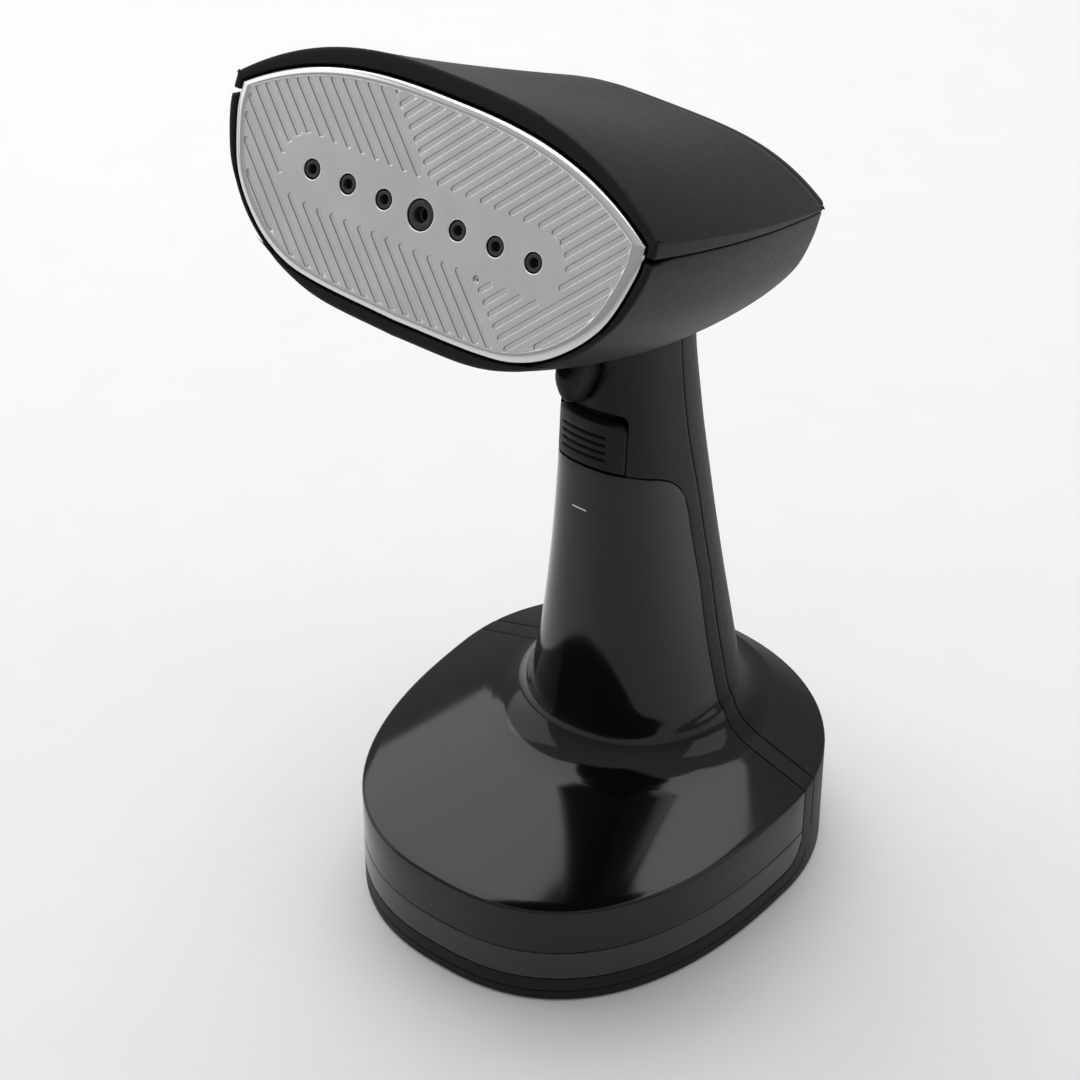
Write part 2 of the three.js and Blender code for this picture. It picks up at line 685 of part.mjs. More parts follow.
function triggerPin() {
  return bar([-11, TRIGGER_PIVOT_Y, TRIGGER_PIVOT_Z], [11, TRIGGER_PIVOT_Y, TRIGGER_PIVOT_Z], PIN_RADIUS, 12);
}

function microswitch() {
  return union(block(1, 5.6, 13, 23, 190, 194.7), block(2.4, 4.2, 18.2, 20, 188.9, 190.5));
}

// ---------------------------------------------------------------- water tank
const TANK_WALL = 2;

function tankForm(inset) {
  return hull(inset).intersect(tankRegion(-GAP - inset));
}

function waterTank() {
  const above = block(-90, 90, -90, 90, WELD_Z + GAP / 2, 220);
  const catchPad = block(-6, 6, 2, 15, 133, 143).intersect(tankForm(1));
  const body = cut(tankForm(0), tankForm(TANK_WALL)).intersect(above);
  const catchPocket = block(-3.6, 3.6, 5.4, 12.6, 139.2, 150);
  const filler = bar([0, 20, PLUG_Z], [0, 34, PLUG_Z], 5.6, 18);
  const outlet = bar([0, 20, VALVE_Z], [0, 34, VALVE_Z], 3.2 + GAP, 16);
  return cut(union(body, catchPad), catchPocket, filler, outlet);
}

function tankTray() {
  const below = block(-90, 90, -90, 90, 0, WELD_Z - GAP / 2);
  return cut(tankForm(0), tankForm(TANK_WALL)).intersect(below);
}

function outletValve() {
  const stub = bar([0, 25, VALVE_Z], [0, 38.4, VALVE_Z], 3.2, 14);
  const collar = bar([0, 24, VALVE_Z], [0, 27.5, VALVE_Z], 5, 14);
  const dip = bar([0, 25.6, VALVE_Z + 1], [0, 16, 12.2], 2, 10);
  const bore = bar([0, 25.5, VALVE_Z], [0, 40, VALVE_Z], 1.4, 8);
  const dipBore = bar([0, 25.6, VALVE_Z], [0, 14.4, 10], 1.1, 8);
  return cut(union(stub, collar, dip), bore, dipBore);
}

function fillerPlug() {
  const profile = [[0, -5.4], [4.6, -5.4], [5.3, -4.4], [5.3, 0.3], [6.6, 0.3], [6.6, 2], [6, 2.6], [0, 2.6]];
  const body = solid(new THREE.LatheGeometry(profile.map(([x, y]) => new THREE.Vector2(x, y)), 18)
    .translate(0, TANK_REAR_Y - GAP, PLUG_Z));
  return union(body, block(-3.4, 3.4, TANK_REAR_Y + 2, TANK_REAR_Y + 3.2, PLUG_Z - 0.8, PLUG_Z + 0.8));
}

// ---------------------------------------------------------------- rear cover and base plate
const BACK_DEPTH = 9;
const GLAND_Z = 16;

function rearCover() {
  const outer = union(hull().intersect(rearRegion(0)), headBack(0, BACK_DEPTH));
  const open = [baseLevel(-3, 0), ...HULL_LEVELS.slice(1)];
  const inner = union(hull(WALL, open), headBackSpace());
  const shell = cut(outer, inner);
  const towers = COVER_SCREWS.map(([x, z]) => (
    bar([x, 43.4, z], [x, 76, z], 4.2, 12).intersect(hull(1)).subtract(block(-90, 90, 0, 43.3, 0, 250))));
  const wells = COVER_SCREWS.map(([x, z]) => bar([x, 46, z], [x, 90, z], 3.2, 12));
  const holes = COVER_SCREWS.map(([x, z]) => bar([x, 40, z], [x, 50, z], 1.7, 8));
  const cordHole = bar([0, 70, GLAND_Z], [0, 90, GLAND_Z], 6, 18);
  const lightHole = bar([0, 38, LIGHT_Z], [0, 60, LIGHT_Z], 3.2, 14);
  return cut(union(shell, ...towers), ...wells, ...holes, cordHole, lightHole);
}

function headBackSpace() {
  const depth = BACK_DEPTH - HEAD_WALL;
  const rings = [-3, 0].map((step) => (
    backShape(HEAD_WALL + 0.4).map(([x, z]) => new THREE.Vector3(x, COVER_SEAM_Y + step, z))));
  return union(loft(rings), headBack(HEAD_WALL, depth));
}

function basePlate() {
  const rings = [1.2, 3.2].map((z) => hullRing(baseLevel(z, 0), WALL + GAP));
  const holes = BASE_SCREWS.map(([x, y]) => bar([x, y, 0], [x, y, 5], 1.9, 6));
  const recesses = BASE_SCREWS.map(([x, y]) => bar([x, y, 0], [x, y, 2.1], 3.4, 8));
  const footSeats = FOOT_PLACES.map(([x, y]) => bar([x, y, 0], [x, y, 2.2], FOOT_RADIUS + 2 * GAP, 12));
  return cut(loft(rings), ...holes, ...recesses, ...footSeats);
}

const FOOT_RADIUS = 5;
const FOOT_PLACES = [[-36, -34], [36, -34], [-42, 46], [42, 46]];
const LIGHT_Z = 166;

function rubberFoot([x, y]) {
  return bar([x, y, 0], [x, y, 1.9], FOOT_RADIUS - 0.5, 12, FOOT_RADIUS);
}

function coverScrew([x, z]) {
  return union(bar([x, 33, z], [x, 46.4, z], 1.3, 6), bar([x, 46.3, z], [x, 48.4, z], 2.7, 8));
}

function baseScrew([x, y]) {
  return union(bar([x, y, 1.6], [x, y, 7], 1.3, 6), bar([x, y, 0.9], [x, y, 1.8], 3, 8));
}

function cordGland() {
  const profile = [
    [3.6, -5], [6.9, -5], [6.9, -3], [5.6, -2.6], [5.6, 0.95], [7.4, 0.95], [7.4, 2.4], [3.6, 2.4], [3.6, -5],
  ];
  const ring = new THREE.LatheGeometry(profile.map(([x, y]) => new THREE.Vector2(x, y)), 20);
  return solid(ring.translate(0, 79, GLAND_Z));
}

function cordClamp() {
  const bridge = block(-9, 9, 64.5, 70.5, 4, 22);
  return cut(bridge, bar([0, 60, GLAND_Z], [0, 75, GLAND_Z], 3.5, 14), block(-3.5, 3.5, 60, 75, GLAND_Z, 30));
}

function readyLight() {
  return union(
    bar([0, 40.5, LIGHT_Z], [0, 45.3, LIGHT_Z], 2.9, 14),
    bar([0, 38.2, LIGHT_Z], [0, 41, LIGHT_Z], 3.9, 14));
}

// ---------------------------------------------------------------- water and power inside
const PUMP_Y = 55.5;
const PUMP_Z = 17;
const HOSE_RADIUS = 1.9;

function waterPump() {
  const body = bar([2, PUMP_Y, PUMP_Z], [32, PUMP_Y, PUMP_Z], 8.6, 20);
  const coil = block(9, 26, PUMP_Y - 9.6, PUMP_Y + 9.6, PUMP_Z - 9, PUMP_Z + 9);
  const inlet = bar([-3, PUMP_Y, PUMP_Z], [3, PUMP_Y, PUMP_Z], 2, 10);
  const outlet = bar([31, PUMP_Y, PUMP_Z], [36, PUMP_Y, PUMP_Z], 2, 10);
  return union(body, coil, inlet, outlet);
}

function pumpMount(x) {
  const outer = block(x - 1.6, x + 1.6, PUMP_Y - 9, PUMP_Y + 9, 3.6, PUMP_Z + 2);
  return cut(outer, bar([x - 4, PUMP_Y, PUMP_Z], [x + 4, PUMP_Y, PUMP_Z], 8.6 + GAP, 20));
}

function circuitBoard() {
  const board = block(-38, -9, 46, 64, 10, 11.6);
  const relay = block(-35, -24, 49, 60, 11.5, 20);
  const terminal = block(-20, -12, 49, 61, 11.5, 18);
  return union(board, relay, terminal);
}

function tankSocket() {
  const profile = [[1.5, 8], [1.5, 6], [3.5, 6], [3.5, 0], [6, 0], [6, 5.4], [3.6, 8], [1.5, 8]];
  const cup = new THREE.LatheGeometry(profile.map(([x, y]) => new THREE.Vector2(x, y)), 16);
  return solid(cup.translate(0, TANK_REAR_Y + WALL + GAP, VALVE_Z));
}

const INLET_ROUTE = [
  [0, 41.5, VALVE_Z], [0, 45, VALVE_Z], [-5, 49, 22], [-9, 53, 18.4],
  [-7.4, PUMP_Y, PUMP_Z], [-3.4, PUMP_Y, PUMP_Z],
];
const OUTLET_ROUTE = [
  [36.5, PUMP_Y, PUMP_Z], [38.6, PUMP_Y, PUMP_Z], [38.4, 51, 23], [33, 45, 30],
  [24, 39.6, 40], [17, 37.4, 52],
  [14.4, 36, 72], [12, 35.6, 96], [11.3, 35.4, 120], [9.8, 35.2, 142], [7.6, 34.8, 165], [6.6, 33.6, 184],
  [4.4, 27, 203], [1.4, 6, 216],
];
const WIRE_ROUTE = [
  [-15.4, 46, 19.5], [-15.6, 41.5, 27], [-15, 37.6, 46], [-13.4, 36.6, 80],
  [-12.3, 35.4, 112], [-12.1, 35.3, 128],
  [-9.4, 35.2, 150], [-8, 34, 180], [-8.4, 26, 202], [-12, 6, 216], [-13, -12, 228],
];
const WIRE_RADIUS = 0.8;

function outletHose() {
  const tail = [44, 36, CHAMBER_BACK + 2].map((back) => onHead(0, -4, back).toArray());
  return tube([...OUTLET_ROUTE, ...tail], HOSE_RADIUS, 34, 6);
}

function heaterWire(shift, end) {
  const route = WIRE_ROUTE.map(([x, y, z]) => [x + shift, y, z]);
  return tube([...route, end.toArray()], WIRE_RADIUS, 26, 4);
}

// ---------------------------------------------------------------- finishes and assembly
const finish = (metalness) => (color, roughness) => new THREE.MeshStandardMaterial({ color, roughness, metalness });
const plastic = (colour, roughness = 0.55) => finish(0)(colour, roughness);
const metal = (colour, roughness = 0.35) => finish(1)(colour, roughness);

const CASING = plastic(0x2c2c2e);
const SMOKED = plastic(0x0b0b0c, 0.08);
const TRAY = plastic(0x3a3b3e, 0.15);
const RUBBER = plastic(0x161616, 0.9);
const SILICONE = plastic(0xb9b6ae, 0.7);
const PLATE = metal(0xb8b8ba, 0.3);
const CAST = metal(0x8d8f92, 0.5);
const STEEL = metal(0x9b9da0, 0.3);

const assembly = new THREE.Group();

function place(name, shape, material) {
  const geometry = shape.isBufferGeometry ? shape : geometryOf(shape);
  const mesh = new THREE.Mesh(geometry, material.clone());
  mesh.name = name;
  assembly.add(mesh);
}

place('steam_plate', steamPlate(), PLATE);
for (let i = 0; i < HOLE_COUNT; i += 1) {
  place(`nozzle_${i + 1}`, nozzle(i), RUBBER);
}
place('plate_gasket', plateGasket(), SILICONE);
place('steam_chamber', steamChamber(), CAST);
place('chamber_lid', chamberLid(), CAST);
CHAMBER_SCREWS.forEach((at, i) => place(`chamber_screw_${i + 1}`, chamberScrew(at), STEEL));
place('heating_element', elementTube(ELEMENT_RADIUS, 40, 6), STEEL);
place('thermostat', thermostat(), STEEL);
place('thermal_fuse', thermalFuse(), SILICONE);
place('heat_shield', heatShield(), plastic(0x9a9080, 0.8));
place('top_cover', topCover(), CASING);
place('head_casing', headCasing(), CASING);
place('front_housing', frontHousing(), CASING);
place('rear_cover', rearCover(), CASING);
place('base_plate', basePlate(), CASING);
FOOT_PLACES.forEach((at, i) => place(`foot_${i + 1}`, rubberFoot(at), RUBBER));
COVER_SCREWS.forEach((at, i) => place(`cover_screw_${i + 1}`, coverScrew(at), STEEL));
BASE_SCREWS.forEach((at, i) => place(`base_screw_${i + 1}`, baseScrew(at), STEEL));
place('water_tank', waterTank(), SMOKED);
place('tank_tray', tankTray(), TRAY);
place('outlet_valve', outletValve(), SILICONE);
place('filler_plug', fillerPlug(), RUBBER);
place('tank_socket', tankSocket(), RUBBER);
place('latch_button', latchButton(), CASING);
place('latch_spring', coilSpring(0, 8, 153.9, 163.3, 2.4, 0.4, 5), STEEL);
place('trigger', trigger(), CASING);
place('trigger_pin', triggerPin(), STEEL);
place('trigger_spring', coilSpring(-3, 17, 187.9, 194.7, 1.7, 0.35, 4), STEEL);
place('microswitch', microswitch(), RUBBER);
place('water_pump', waterPump(), STEEL);
place('pump_mount_1', pumpMount(5), RUBBER);
place('pump_mount_2', pumpMount(29.4), RUBBER);
place('inlet_hose', tube(INLET_ROUTE, HOSE_RADIUS, 12, 6), SILICONE);
place('outlet_hose', outletHose(), SILICONE);
place('circuit_board', circuitBoard(), plastic(0x2f5a34, 0.6));
place('heater_wire_1', heaterWire(0, onHead(-14, 4, CHAMBER_BACK + 14)), RUBBER);
place('heater_wire_2', heaterWire(1.9, onHead(-10, 4, CHAMBER_BACK + 14)), RUBBER);
place('cord_gland', cordGland(), RUBBER);
place('cord_clamp', cordClamp(), CASING);
place('ready_light', readyLight(), plastic(0xd8d8d8, 0.2));

assembly.position.y = -MIDDLE_Y;

export default assembly;
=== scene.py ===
"""Looks of the garment steamer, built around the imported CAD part.

Lengths are in millimetres in the part's own numbers, and metres() turns them into the shared frame,
whose origin lies SHIFT_Y further back.
"""

import json
import math

import bmesh
import bpy
import numpy as np
from mathutils import Euler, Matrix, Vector
from mathutils.geometry import delaunay_2d_cdt


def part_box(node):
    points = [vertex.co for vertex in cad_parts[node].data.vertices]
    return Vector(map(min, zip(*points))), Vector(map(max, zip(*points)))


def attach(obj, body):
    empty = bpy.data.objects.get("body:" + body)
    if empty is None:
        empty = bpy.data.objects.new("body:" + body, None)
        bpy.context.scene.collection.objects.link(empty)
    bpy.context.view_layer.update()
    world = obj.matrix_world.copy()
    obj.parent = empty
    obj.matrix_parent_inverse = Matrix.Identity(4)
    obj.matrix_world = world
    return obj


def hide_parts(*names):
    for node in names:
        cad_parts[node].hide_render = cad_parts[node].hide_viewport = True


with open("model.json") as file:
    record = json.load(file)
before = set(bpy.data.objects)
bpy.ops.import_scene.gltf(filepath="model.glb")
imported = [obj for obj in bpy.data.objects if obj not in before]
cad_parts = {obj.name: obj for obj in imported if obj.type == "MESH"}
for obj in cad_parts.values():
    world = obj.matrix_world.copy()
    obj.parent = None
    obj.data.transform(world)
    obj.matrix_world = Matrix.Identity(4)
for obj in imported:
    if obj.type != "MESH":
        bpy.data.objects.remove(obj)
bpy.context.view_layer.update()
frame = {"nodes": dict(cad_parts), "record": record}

MM = 0.001
MIRROR = np.array([-1.0, 1.0, 1.0])


def box_middle(node):
    """Middle of a CAD node's box, in millimetres of the shared frame."""
    low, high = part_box(node)
    return 0.5 * (low + high) / MM


PIN_Y = 9.0
SHIFT_Y = PIN_Y - box_middle("trigger_pin").y


def metres(points):
    """Part millimetres to metres in the shared frame."""
    out = np.array(points, float).reshape(-1, 3) * MM
    out[:, 1] -= SHIFT_Y * MM
    return out


# ------------------------------------------------------------------ camera
CAMERA_PLACE = (433.225, -572.691, 673.198)
CAMERA_TURN = (52.299, 0.0, 37.995)
CAMERA_LENS = 106.667
CAMERA_SENSOR = 36.0


def place_camera():
    data = bpy.data.cameras.new("camera")
    data.lens = CAMERA_LENS
    data.sensor_width = CAMERA_SENSOR
    data.clip_end = 20.0
    camera = bpy.data.objects.new("camera", data)
    camera.location = metres(CAMERA_PLACE)[0]
    camera.rotation_euler = Euler([math.radians(angle) for angle in CAMERA_TURN], "XYZ")
    bpy.context.scene.collection.objects.link(camera)
    bpy.context.scene.camera = camera


place_camera()
# the default view transform would wash the blacks out
bpy.context.scene.view_settings.view_transform = "Standard"


# ------------------------------------------------------------------ materials
NOISE_LOW, NOISE_HIGH = 0.3, 0.7


def node_material(name, colour, roughness, metallic=0.0, speckle=0.08, grain=900.0, bump=0.15, depth=0.00004,
                  rough_spread=0.06, coat=0.0, specular=0.5, broad=60.0, brushed=(1.0, 1.0, 1.0)):
    """Moulded or cast finish: fine grain in the bump, broad and fine noise in colour and roughness."""
    material = bpy.data.materials.new(name)
    material.use_nodes = True
    nodes = material.node_tree.nodes
    links = material.node_tree.links
    shader = nodes["Principled BSDF"]
    shader.inputs["Metallic"].default_value = metallic
    shader.inputs["Specular IOR Level"].default_value = specular
    shader.inputs["Coat Weight"].default_value = coat
    shader.inputs["Coat Roughness"].default_value = 0.05
    place = nodes.new("ShaderNodeTexCoord")
    stretch = nodes.new("ShaderNodeMapping")
    stretch.inputs["Scale"].default_value = brushed
    links.new(place.outputs["Object"], stretch.inputs["Vector"])

    def noise(scale, detail):
        texture = nodes.new("ShaderNodeTexNoise")
        texture.inputs["Scale"].default_value = scale
        texture.inputs["Detail"].default_value = detail
        links.new(stretch.outputs["Vector"], texture.inputs["Vector"])
        return texture

    fine, wide = noise(grain, 3.0), noise(broad, 4.0)
    both = nodes.new("ShaderNodeMix")
    both.inputs["Factor"].default_value = 0.45
    links.new(fine.outputs["Fac"], both.inputs["A"])
    links.new(wide.outputs["Fac"], both.inputs["B"])
    ramp = nodes.new("ShaderNodeValToRGB")
    low, high = ramp.color_ramp.elements
    low.position, high.position = NOISE_LOW, NOISE_HIGH
    low.color = (*[c * (1.0 - speckle) for c in colour], 1.0)
    high.color = (*[min(1.0, c * (1.0 + speckle)) for c in colour], 1.0)
    links.new(both.outputs["Result"], ramp.inputs["Fac"])
    links.new(ramp.outputs["Color"], shader.inputs["Base Color"])
    spread = nodes.new("ShaderNodeMapRange")
    spread.inputs["From Min"].default_value = NOISE_LOW
    spread.inputs["From Max"].default_value = NOISE_HIGH
    spread.inputs["To Min"].default_value = max(0.02, roughness - rough_spread)
    spread.inputs["To Max"].default_value = roughness + rough_spread
    links.new(wide.outputs["Fac"], spread.inputs["Value"])
    links.new(spread.outputs["Result"], shader.inputs["Roughness"])
    relief = nodes.new("ShaderNodeBump")
    relief.inputs["Strength"].default_value = bump
    relief.inputs["Distance"].default_value = depth
    links.new(fine.outputs["Fac"], relief.inputs["Height"])
    links.new(relief.outputs["Normal"], shader.inputs["Normal"])
    return material


FINISHES = {
    "casing": dict(colour=(0.0092, 0.0092, 0.0101), roughness=0.5, grain=2600.0, bump=0.5, specular=0.17,
                   speckle=0.12, rough_spread=0.03, broad=420.0),
    "inner_plastic": dict(colour=(0.02, 0.02, 0.02), roughness=0.6, grain=1800.0, bump=0.4),
    "smoked_tank": dict(colour=(0.0025, 0.0025, 0.003), roughness=0.1, rough_spread=0.02, grain=60.0,
                        bump=0.02, depth=0.00002, specular=0.36, broad=25.0),
    "tank_tray": dict(colour=(0.02, 0.02, 0.022), roughness=0.16, rough_spread=0.02, grain=90.0,
                      bump=0.02, depth=0.00002, specular=0.42),
    "rubber": dict(colour=(0.012, 0.012, 0.012), roughness=0.8, grain=1500.0, bump=0.5, specular=0.3),
    "nozzle_insert": dict(colour=(0.03, 0.03, 0.031), roughness=0.42, grain=1800.0, bump=0.3),
    "silicone": dict(colour=(0.5, 0.48, 0.45), roughness=0.55, grain=700.0, bump=0.25),
    "steam_plate": dict(colour=(0.83, 0.83, 0.835), roughness=0.34, metallic=1.0, speckle=0.03, grain=3800.0,
                        bump=0.35, depth=0.00002, rough_spread=0.02, broad=90.0),
    "cast_aluminium": dict(colour=(0.42, 0.42, 0.43), roughness=0.5, metallic=1.0, grain=700.0, bump=0.6,
                           depth=0.0001),
    "steel": dict(colour=(0.55, 0.55, 0.56), roughness=0.28, metallic=1.0, grain=500.0, bump=0.2,
                  brushed=(1.0, 1.0, 0.05)),
    "ceramic": dict(colour=(0.7, 0.68, 0.64), roughness=0.35, grain=400.0, bump=0.2),
    "heat_shield": dict(colour=(0.36, 0.32, 0.26), roughness=0.75, grain=600.0, bump=0.6, depth=0.0001),
    "pump_body": dict(colour=(0.09, 0.09, 0.095), roughness=0.5, grain=900.0, bump=0.3),
    "circuit_board": dict(colour=(0.02, 0.1, 0.04), roughness=0.35, grain=350.0, bump=0.2, coat=0.4),
    "wire": dict(colour=(0.45, 0.05, 0.035), roughness=0.55, grain=900.0, bump=0.2),
    "light_lens": dict(colour=(0.68, 0.68, 0.67), roughness=0.18, grain=300.0, bump=0.1, rough_spread=0.03),
    "polished_rim": dict(colour=(0.7, 0.7, 0.705), roughness=0.17, metallic=1.0, speckle=0.02, grain=900.0,
                         bump=0.05, depth=0.00001, rough_spread=0.02),
    # dark colour of the groove walls: painted shade inside the pressed grooves
    "groove_wall_painted_shade": dict(colour=(0.26, 0.26, 0.265), roughness=0.36, metallic=1.0, speckle=0.04, grain=2500.0,
                        bump=0.2, depth=0.00001, rough_spread=0.02),
    "level_mark": dict(colour=(0.72, 0.72, 0.72), roughness=0.5, speckle=0.03, grain=1500.0, bump=0.1),
}
MATERIALS = {name: node_material(name, **finish) for name, finish in FINISHES.items()}
CAD_SHARP = 35.0

for part in frame["record"]["subparts"]:
    carried = frame["nodes"][part["node"]].data
    carried.materials.clear()
    carried.materials.append(MATERIALS[part["material_slot"]])
    carried.shade_smooth()
    carried.set_sharp_from_angle(angle=math.radians(CAD_SHARP))


# ------------------------------------------------------------------ mesh helpers
NEW_SHARP = 40.0
FINAL_SHARP = 50.0


def new_piece(name, points, faces, material, body="housing", slot=None):
    """Object from millimetre points, with a body and slot noted on it; settle() later reads the body."""
    mesh = bpy.data.meshes.new(name)
    mesh.from_pydata([tuple(p) for p in metres(points)], [], faces)
    mesh.validate()
    build = bmesh.new()
    build.from_mesh(mesh)
    bmesh.ops.remove_doubles(build, verts=build.verts, dist=2e-6)
    bmesh.ops.dissolve_degenerate(build, edges=build.edges, dist=1e-6)
    bmesh.ops.recalc_face_normals(build, faces=build.faces)
    build.to_mesh(mesh)
    build.free()
    piece = bpy.data.objects.new(name, mesh)
    bpy.context.scene.collection.objects.link(piece)
    mesh.materials.append(MATERIALS[material])
    mesh.shade_smooth()
    mesh.set_sharp_from_angle(angle=math.radians(NEW_SHARP))
    piece["wanted_body"] = body
    piece["wanted_slot"] = slot or material
    return piece


def rounded(piece, width, angle=38.0):
    """Rounds every edge sharper than the angle."""
    bevel = piece.modifiers.new("bevel", "BEVEL")
    bevel.width = width * MM
    bevel.segments = 3
    bevel.limit_method = "ANGLE"
    bevel.angle_limit = math.radians(angle)
    bevel.use_clamp_overlap = False
    bevel.miter_outer = "MITER_ARC"
    return baked(piece)


def applied(piece):
    """Applies the modifiers, so that the mesh itself is final."""
    graph = bpy.context.evaluated_depsgraph_get()
    final = bpy.data.meshes.new_from_object(piece.evaluated_get(graph))
    piece.modifiers.clear()
    piece.data = final
    return piece


def baked(piece):
    """Applies the modifiers and sets the smooth shading anew."""
    applied(piece)
    piece.data.shade_smooth()
    piece.data.set_sharp_from_angle(angle=math.radians(FINAL_SHARP))
    return piece


def settle(piece, *nodes):
    """Rides the piece on its body, hides the CAD nodes that it stands for and removes the body and slot noted on it.
    """
    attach(piece, piece["wanted_body"])
    if nodes:
        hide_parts(*nodes)
    for key in ("wanted_body", "wanted_slot"):
        del piece[key]


class Skin:
    """Collects points and faces of one closed surface."""

    def __init__(self):
        self.points = []
        self.faces = []

    def grid(self, rows, closed=False):
        """rows: an array (rows, columns, 3). Returns the vertex numbers as an array."""
        rows = np.asarray(rows, float)
        count, width = rows.shape[:2]
        start = len(self.points)
        self.points += [tuple(p) for p in rows.reshape(-1, 3)]
        index = start + np.arange(count * width).reshape(count, width)
        last = width if closed else width - 1
        for r in range(count - 1):
            for c in range(last):
                d = (c + 1) % width
                self.faces.append((int(index[r, c]), int(index[r, d]), int(index[r + 1, d]), int(index[r + 1, c])))
        return index

    def pairs(self, chain):
        """Closes a surface across x = 0: chain is a list of (right, left) vertex numbers."""
        for (ra, la), (rb, lb) in zip(chain, chain[1:]):
            face = [ra, rb, lb, la]
            face = [v for i, v in enumerate(face) if v not in face[:i]]
            if len(face) > 2:
                self.faces.append(tuple(int(v) for v in face))

    def piece(self, name, material, **more):
        return new_piece(name, self.points, self.faces, material, **more)


def lathe(profile, origin, axis, steps=48):
    """Turns a closed (radius, along) profile round an axis through origin."""
    axis = Vector(axis).normalized()
    side = axis.orthogonal().normalized()
    other = axis.cross(side)
    rows = []
    for radius, along in profile:
        ring = []
        for i in range(steps):
            angle = 2.0 * math.pi * i / steps
            ring.append(Vector(origin) + axis * along + radius * (math.cos(angle) * side + math.sin(angle) * other))
        rows.append([tuple(p) for p in ring])
    return rows


# ------------------------------------------------------------------ the part's leading sizes
GAP = 0.3
BASE_HALF_WIDTH = 62.3
BASE_WIDEST_Y = 22.1
BASE_FRONT_REACH = 88.0
BASE_REAR_REACH = 57.5
BASE_FRONT_SQUARENESS = 2.42
BASE_REAR_SQUARENESS = 2.1
FOOT_HEIGHT = 0.5
CREASE_Z = 35.6
RIM_Z = 3.9
SHELF_Z = 8.8
WELD_Z = 19.3
TANK_REAR_Y = 30.4
COVER_SEAM_Y = 36.7
TANK_TOP_Z = 145.2
TILT = math.radians(25.45)
SLOPE = math.tan(TILT)
HEAD_Y = -65.9
HEAD_Z = 258.6
NECK_TOP_Z = 206.0


# ------------------------------------------------------------------ hull of base and column
def monotone(xs, ys, x):
    """Shape-keeping cubic through the given points."""
    xs, ys = np.asarray(xs, float), np.asarray(ys, float)
    h = np.diff(xs)
    d = np.diff(ys) / h
    m = np.zeros(len(xs))
    m[0], m[-1] = d[0], d[-1]
    for i in range(1, len(xs) - 1):
        if d[i - 1] * d[i] > 0:
            w1, w2 = 2 * h[i] + h[i - 1], h[i] + 2 * h[i - 1]
            m[i] = (w1 + w2) / (w1 / d[i - 1] + w2 / d[i])
    k = int(np.clip(np.searchsorted(xs, x) - 1, 0, len(h) - 1))
    t = (x - xs[k]) / h[k]
    return ((1 + 2 * t) * (1 - t) ** 2 * ys[k] + t * (1 - t) ** 2 * h[k] * m[k]
            + t * t * (3 - 2 * t) * ys[k + 1] + t * t * (t - 1) * h[k] * m[k + 1])


def base_level(z, inset):
    """A level: z, middle y, half width, reach in front, reach behind, squareness in front and behind."""
    return (z, BASE_WIDEST_Y, BASE_HALF_WIDTH - inset, BASE_FRONT_REACH - inset, BASE_REAR_REACH - inset,
            BASE_FRONT_SQUARENESS, BASE_REAR_SQUARENESS)


# z, middle y, half width, reach in front and behind, squareness
COLUMN = [
    (41.0, 28.8, 43.5, 43.5, 2.0), (42.0, 28.8, 40.3, 40.3, 2.0), (44.6, 28.8, 35.8, 35.8, 2.0),
    (48.0, 28.8, 32.9, 32.9, 2.0), (51.4, 28.7, 31.4, 31.6, 2.04), (53.6, 28.7, 29.7, 31.2, 2.2),
    (60.0, 28.6, 27.9, 30.6, 2.36), (75.0, 28.1, 24.5, 29.7, 2.4), (92.0, 27.2, 21.7, 28.4, 2.4),
    (120.0, 25.6, 18.3, 26.0, 2.4), (150.0, 23.6, 15.7, 23.6, 2.4), (176.0, 22.1, 14.5, 22.05, 2.4),
    (206.0, 21.0, 14.4, 22.0, 2.4),
]
FOOT_EDGE = 1.1


def hull_levels():
    """All levels from the ground to the neck, and the number of the one that ends the base's rounded edge."""
    levels = [base_level(FOOT_HEIGHT, 0.4), base_level(FOOT_HEIGHT + 0.3, 0.1), base_level(FOOT_HEIGHT + 0.7, 0.0)]
    levels += [base_level(z, 0.0) for z in (RIM_Z, SHELF_Z, 14.0, WELD_Z, 26.0, CREASE_Z - FOOT_EDGE)]
    for degrees in (20.0, 40.0, 58.0, 74.0):
        a = math.radians(degrees)
        levels.append(base_level(CREASE_Z - FOOT_EDGE * (1.0 - math.sin(a)), FOOT_EDGE * (1.0 - math.cos(a))))
    crease_end = len(levels) - 1
    columns = list(zip(*COLUMN))
    heights = [41.0, 41.1, 41.3, 41.6, 42.0, 42.5, 43.2, 44.0, 44.9, 46.0, 47.2, 48.5, 49.8, 51.0, 51.7, 52.4, 53.0,
               53.6, 54.6, 56.0, 58.0]
    heights += list(np.linspace(60.0, NECK_TOP_Z, 50))
    for z in heights:
        cy, half, depth, square = (monotone(columns[0], columns[i], z) for i in (1, 2, 3, 4))
        levels.append((z, cy, half, depth, depth, square, square))
    return np.array(levels), crease_end


LEVELS, CREASE_END = hull_levels()


def signed_power(value, power):
    return np.sign(value) * np.abs(value) ** power


def level_point(levels, theta, inset):
    """Points of the levels' superellipses at the angles, moved inwards by the inset."""
    z, cy, half, front, rear, n_front, n_rear = np.moveaxis(levels, -1, 0)
    back = np.sin(theta) > 0
    power = 2.0 / np.where(back, n_rear, n_front)
    reach = np.where(back, rear, front) - inset
    x = (half - inset) * signed_power(np.cos(theta), power)
    y = cy + reach * signed_power(np.sin(theta), power)
    return np.stack([x, y, z + 0.0 * x], -1)


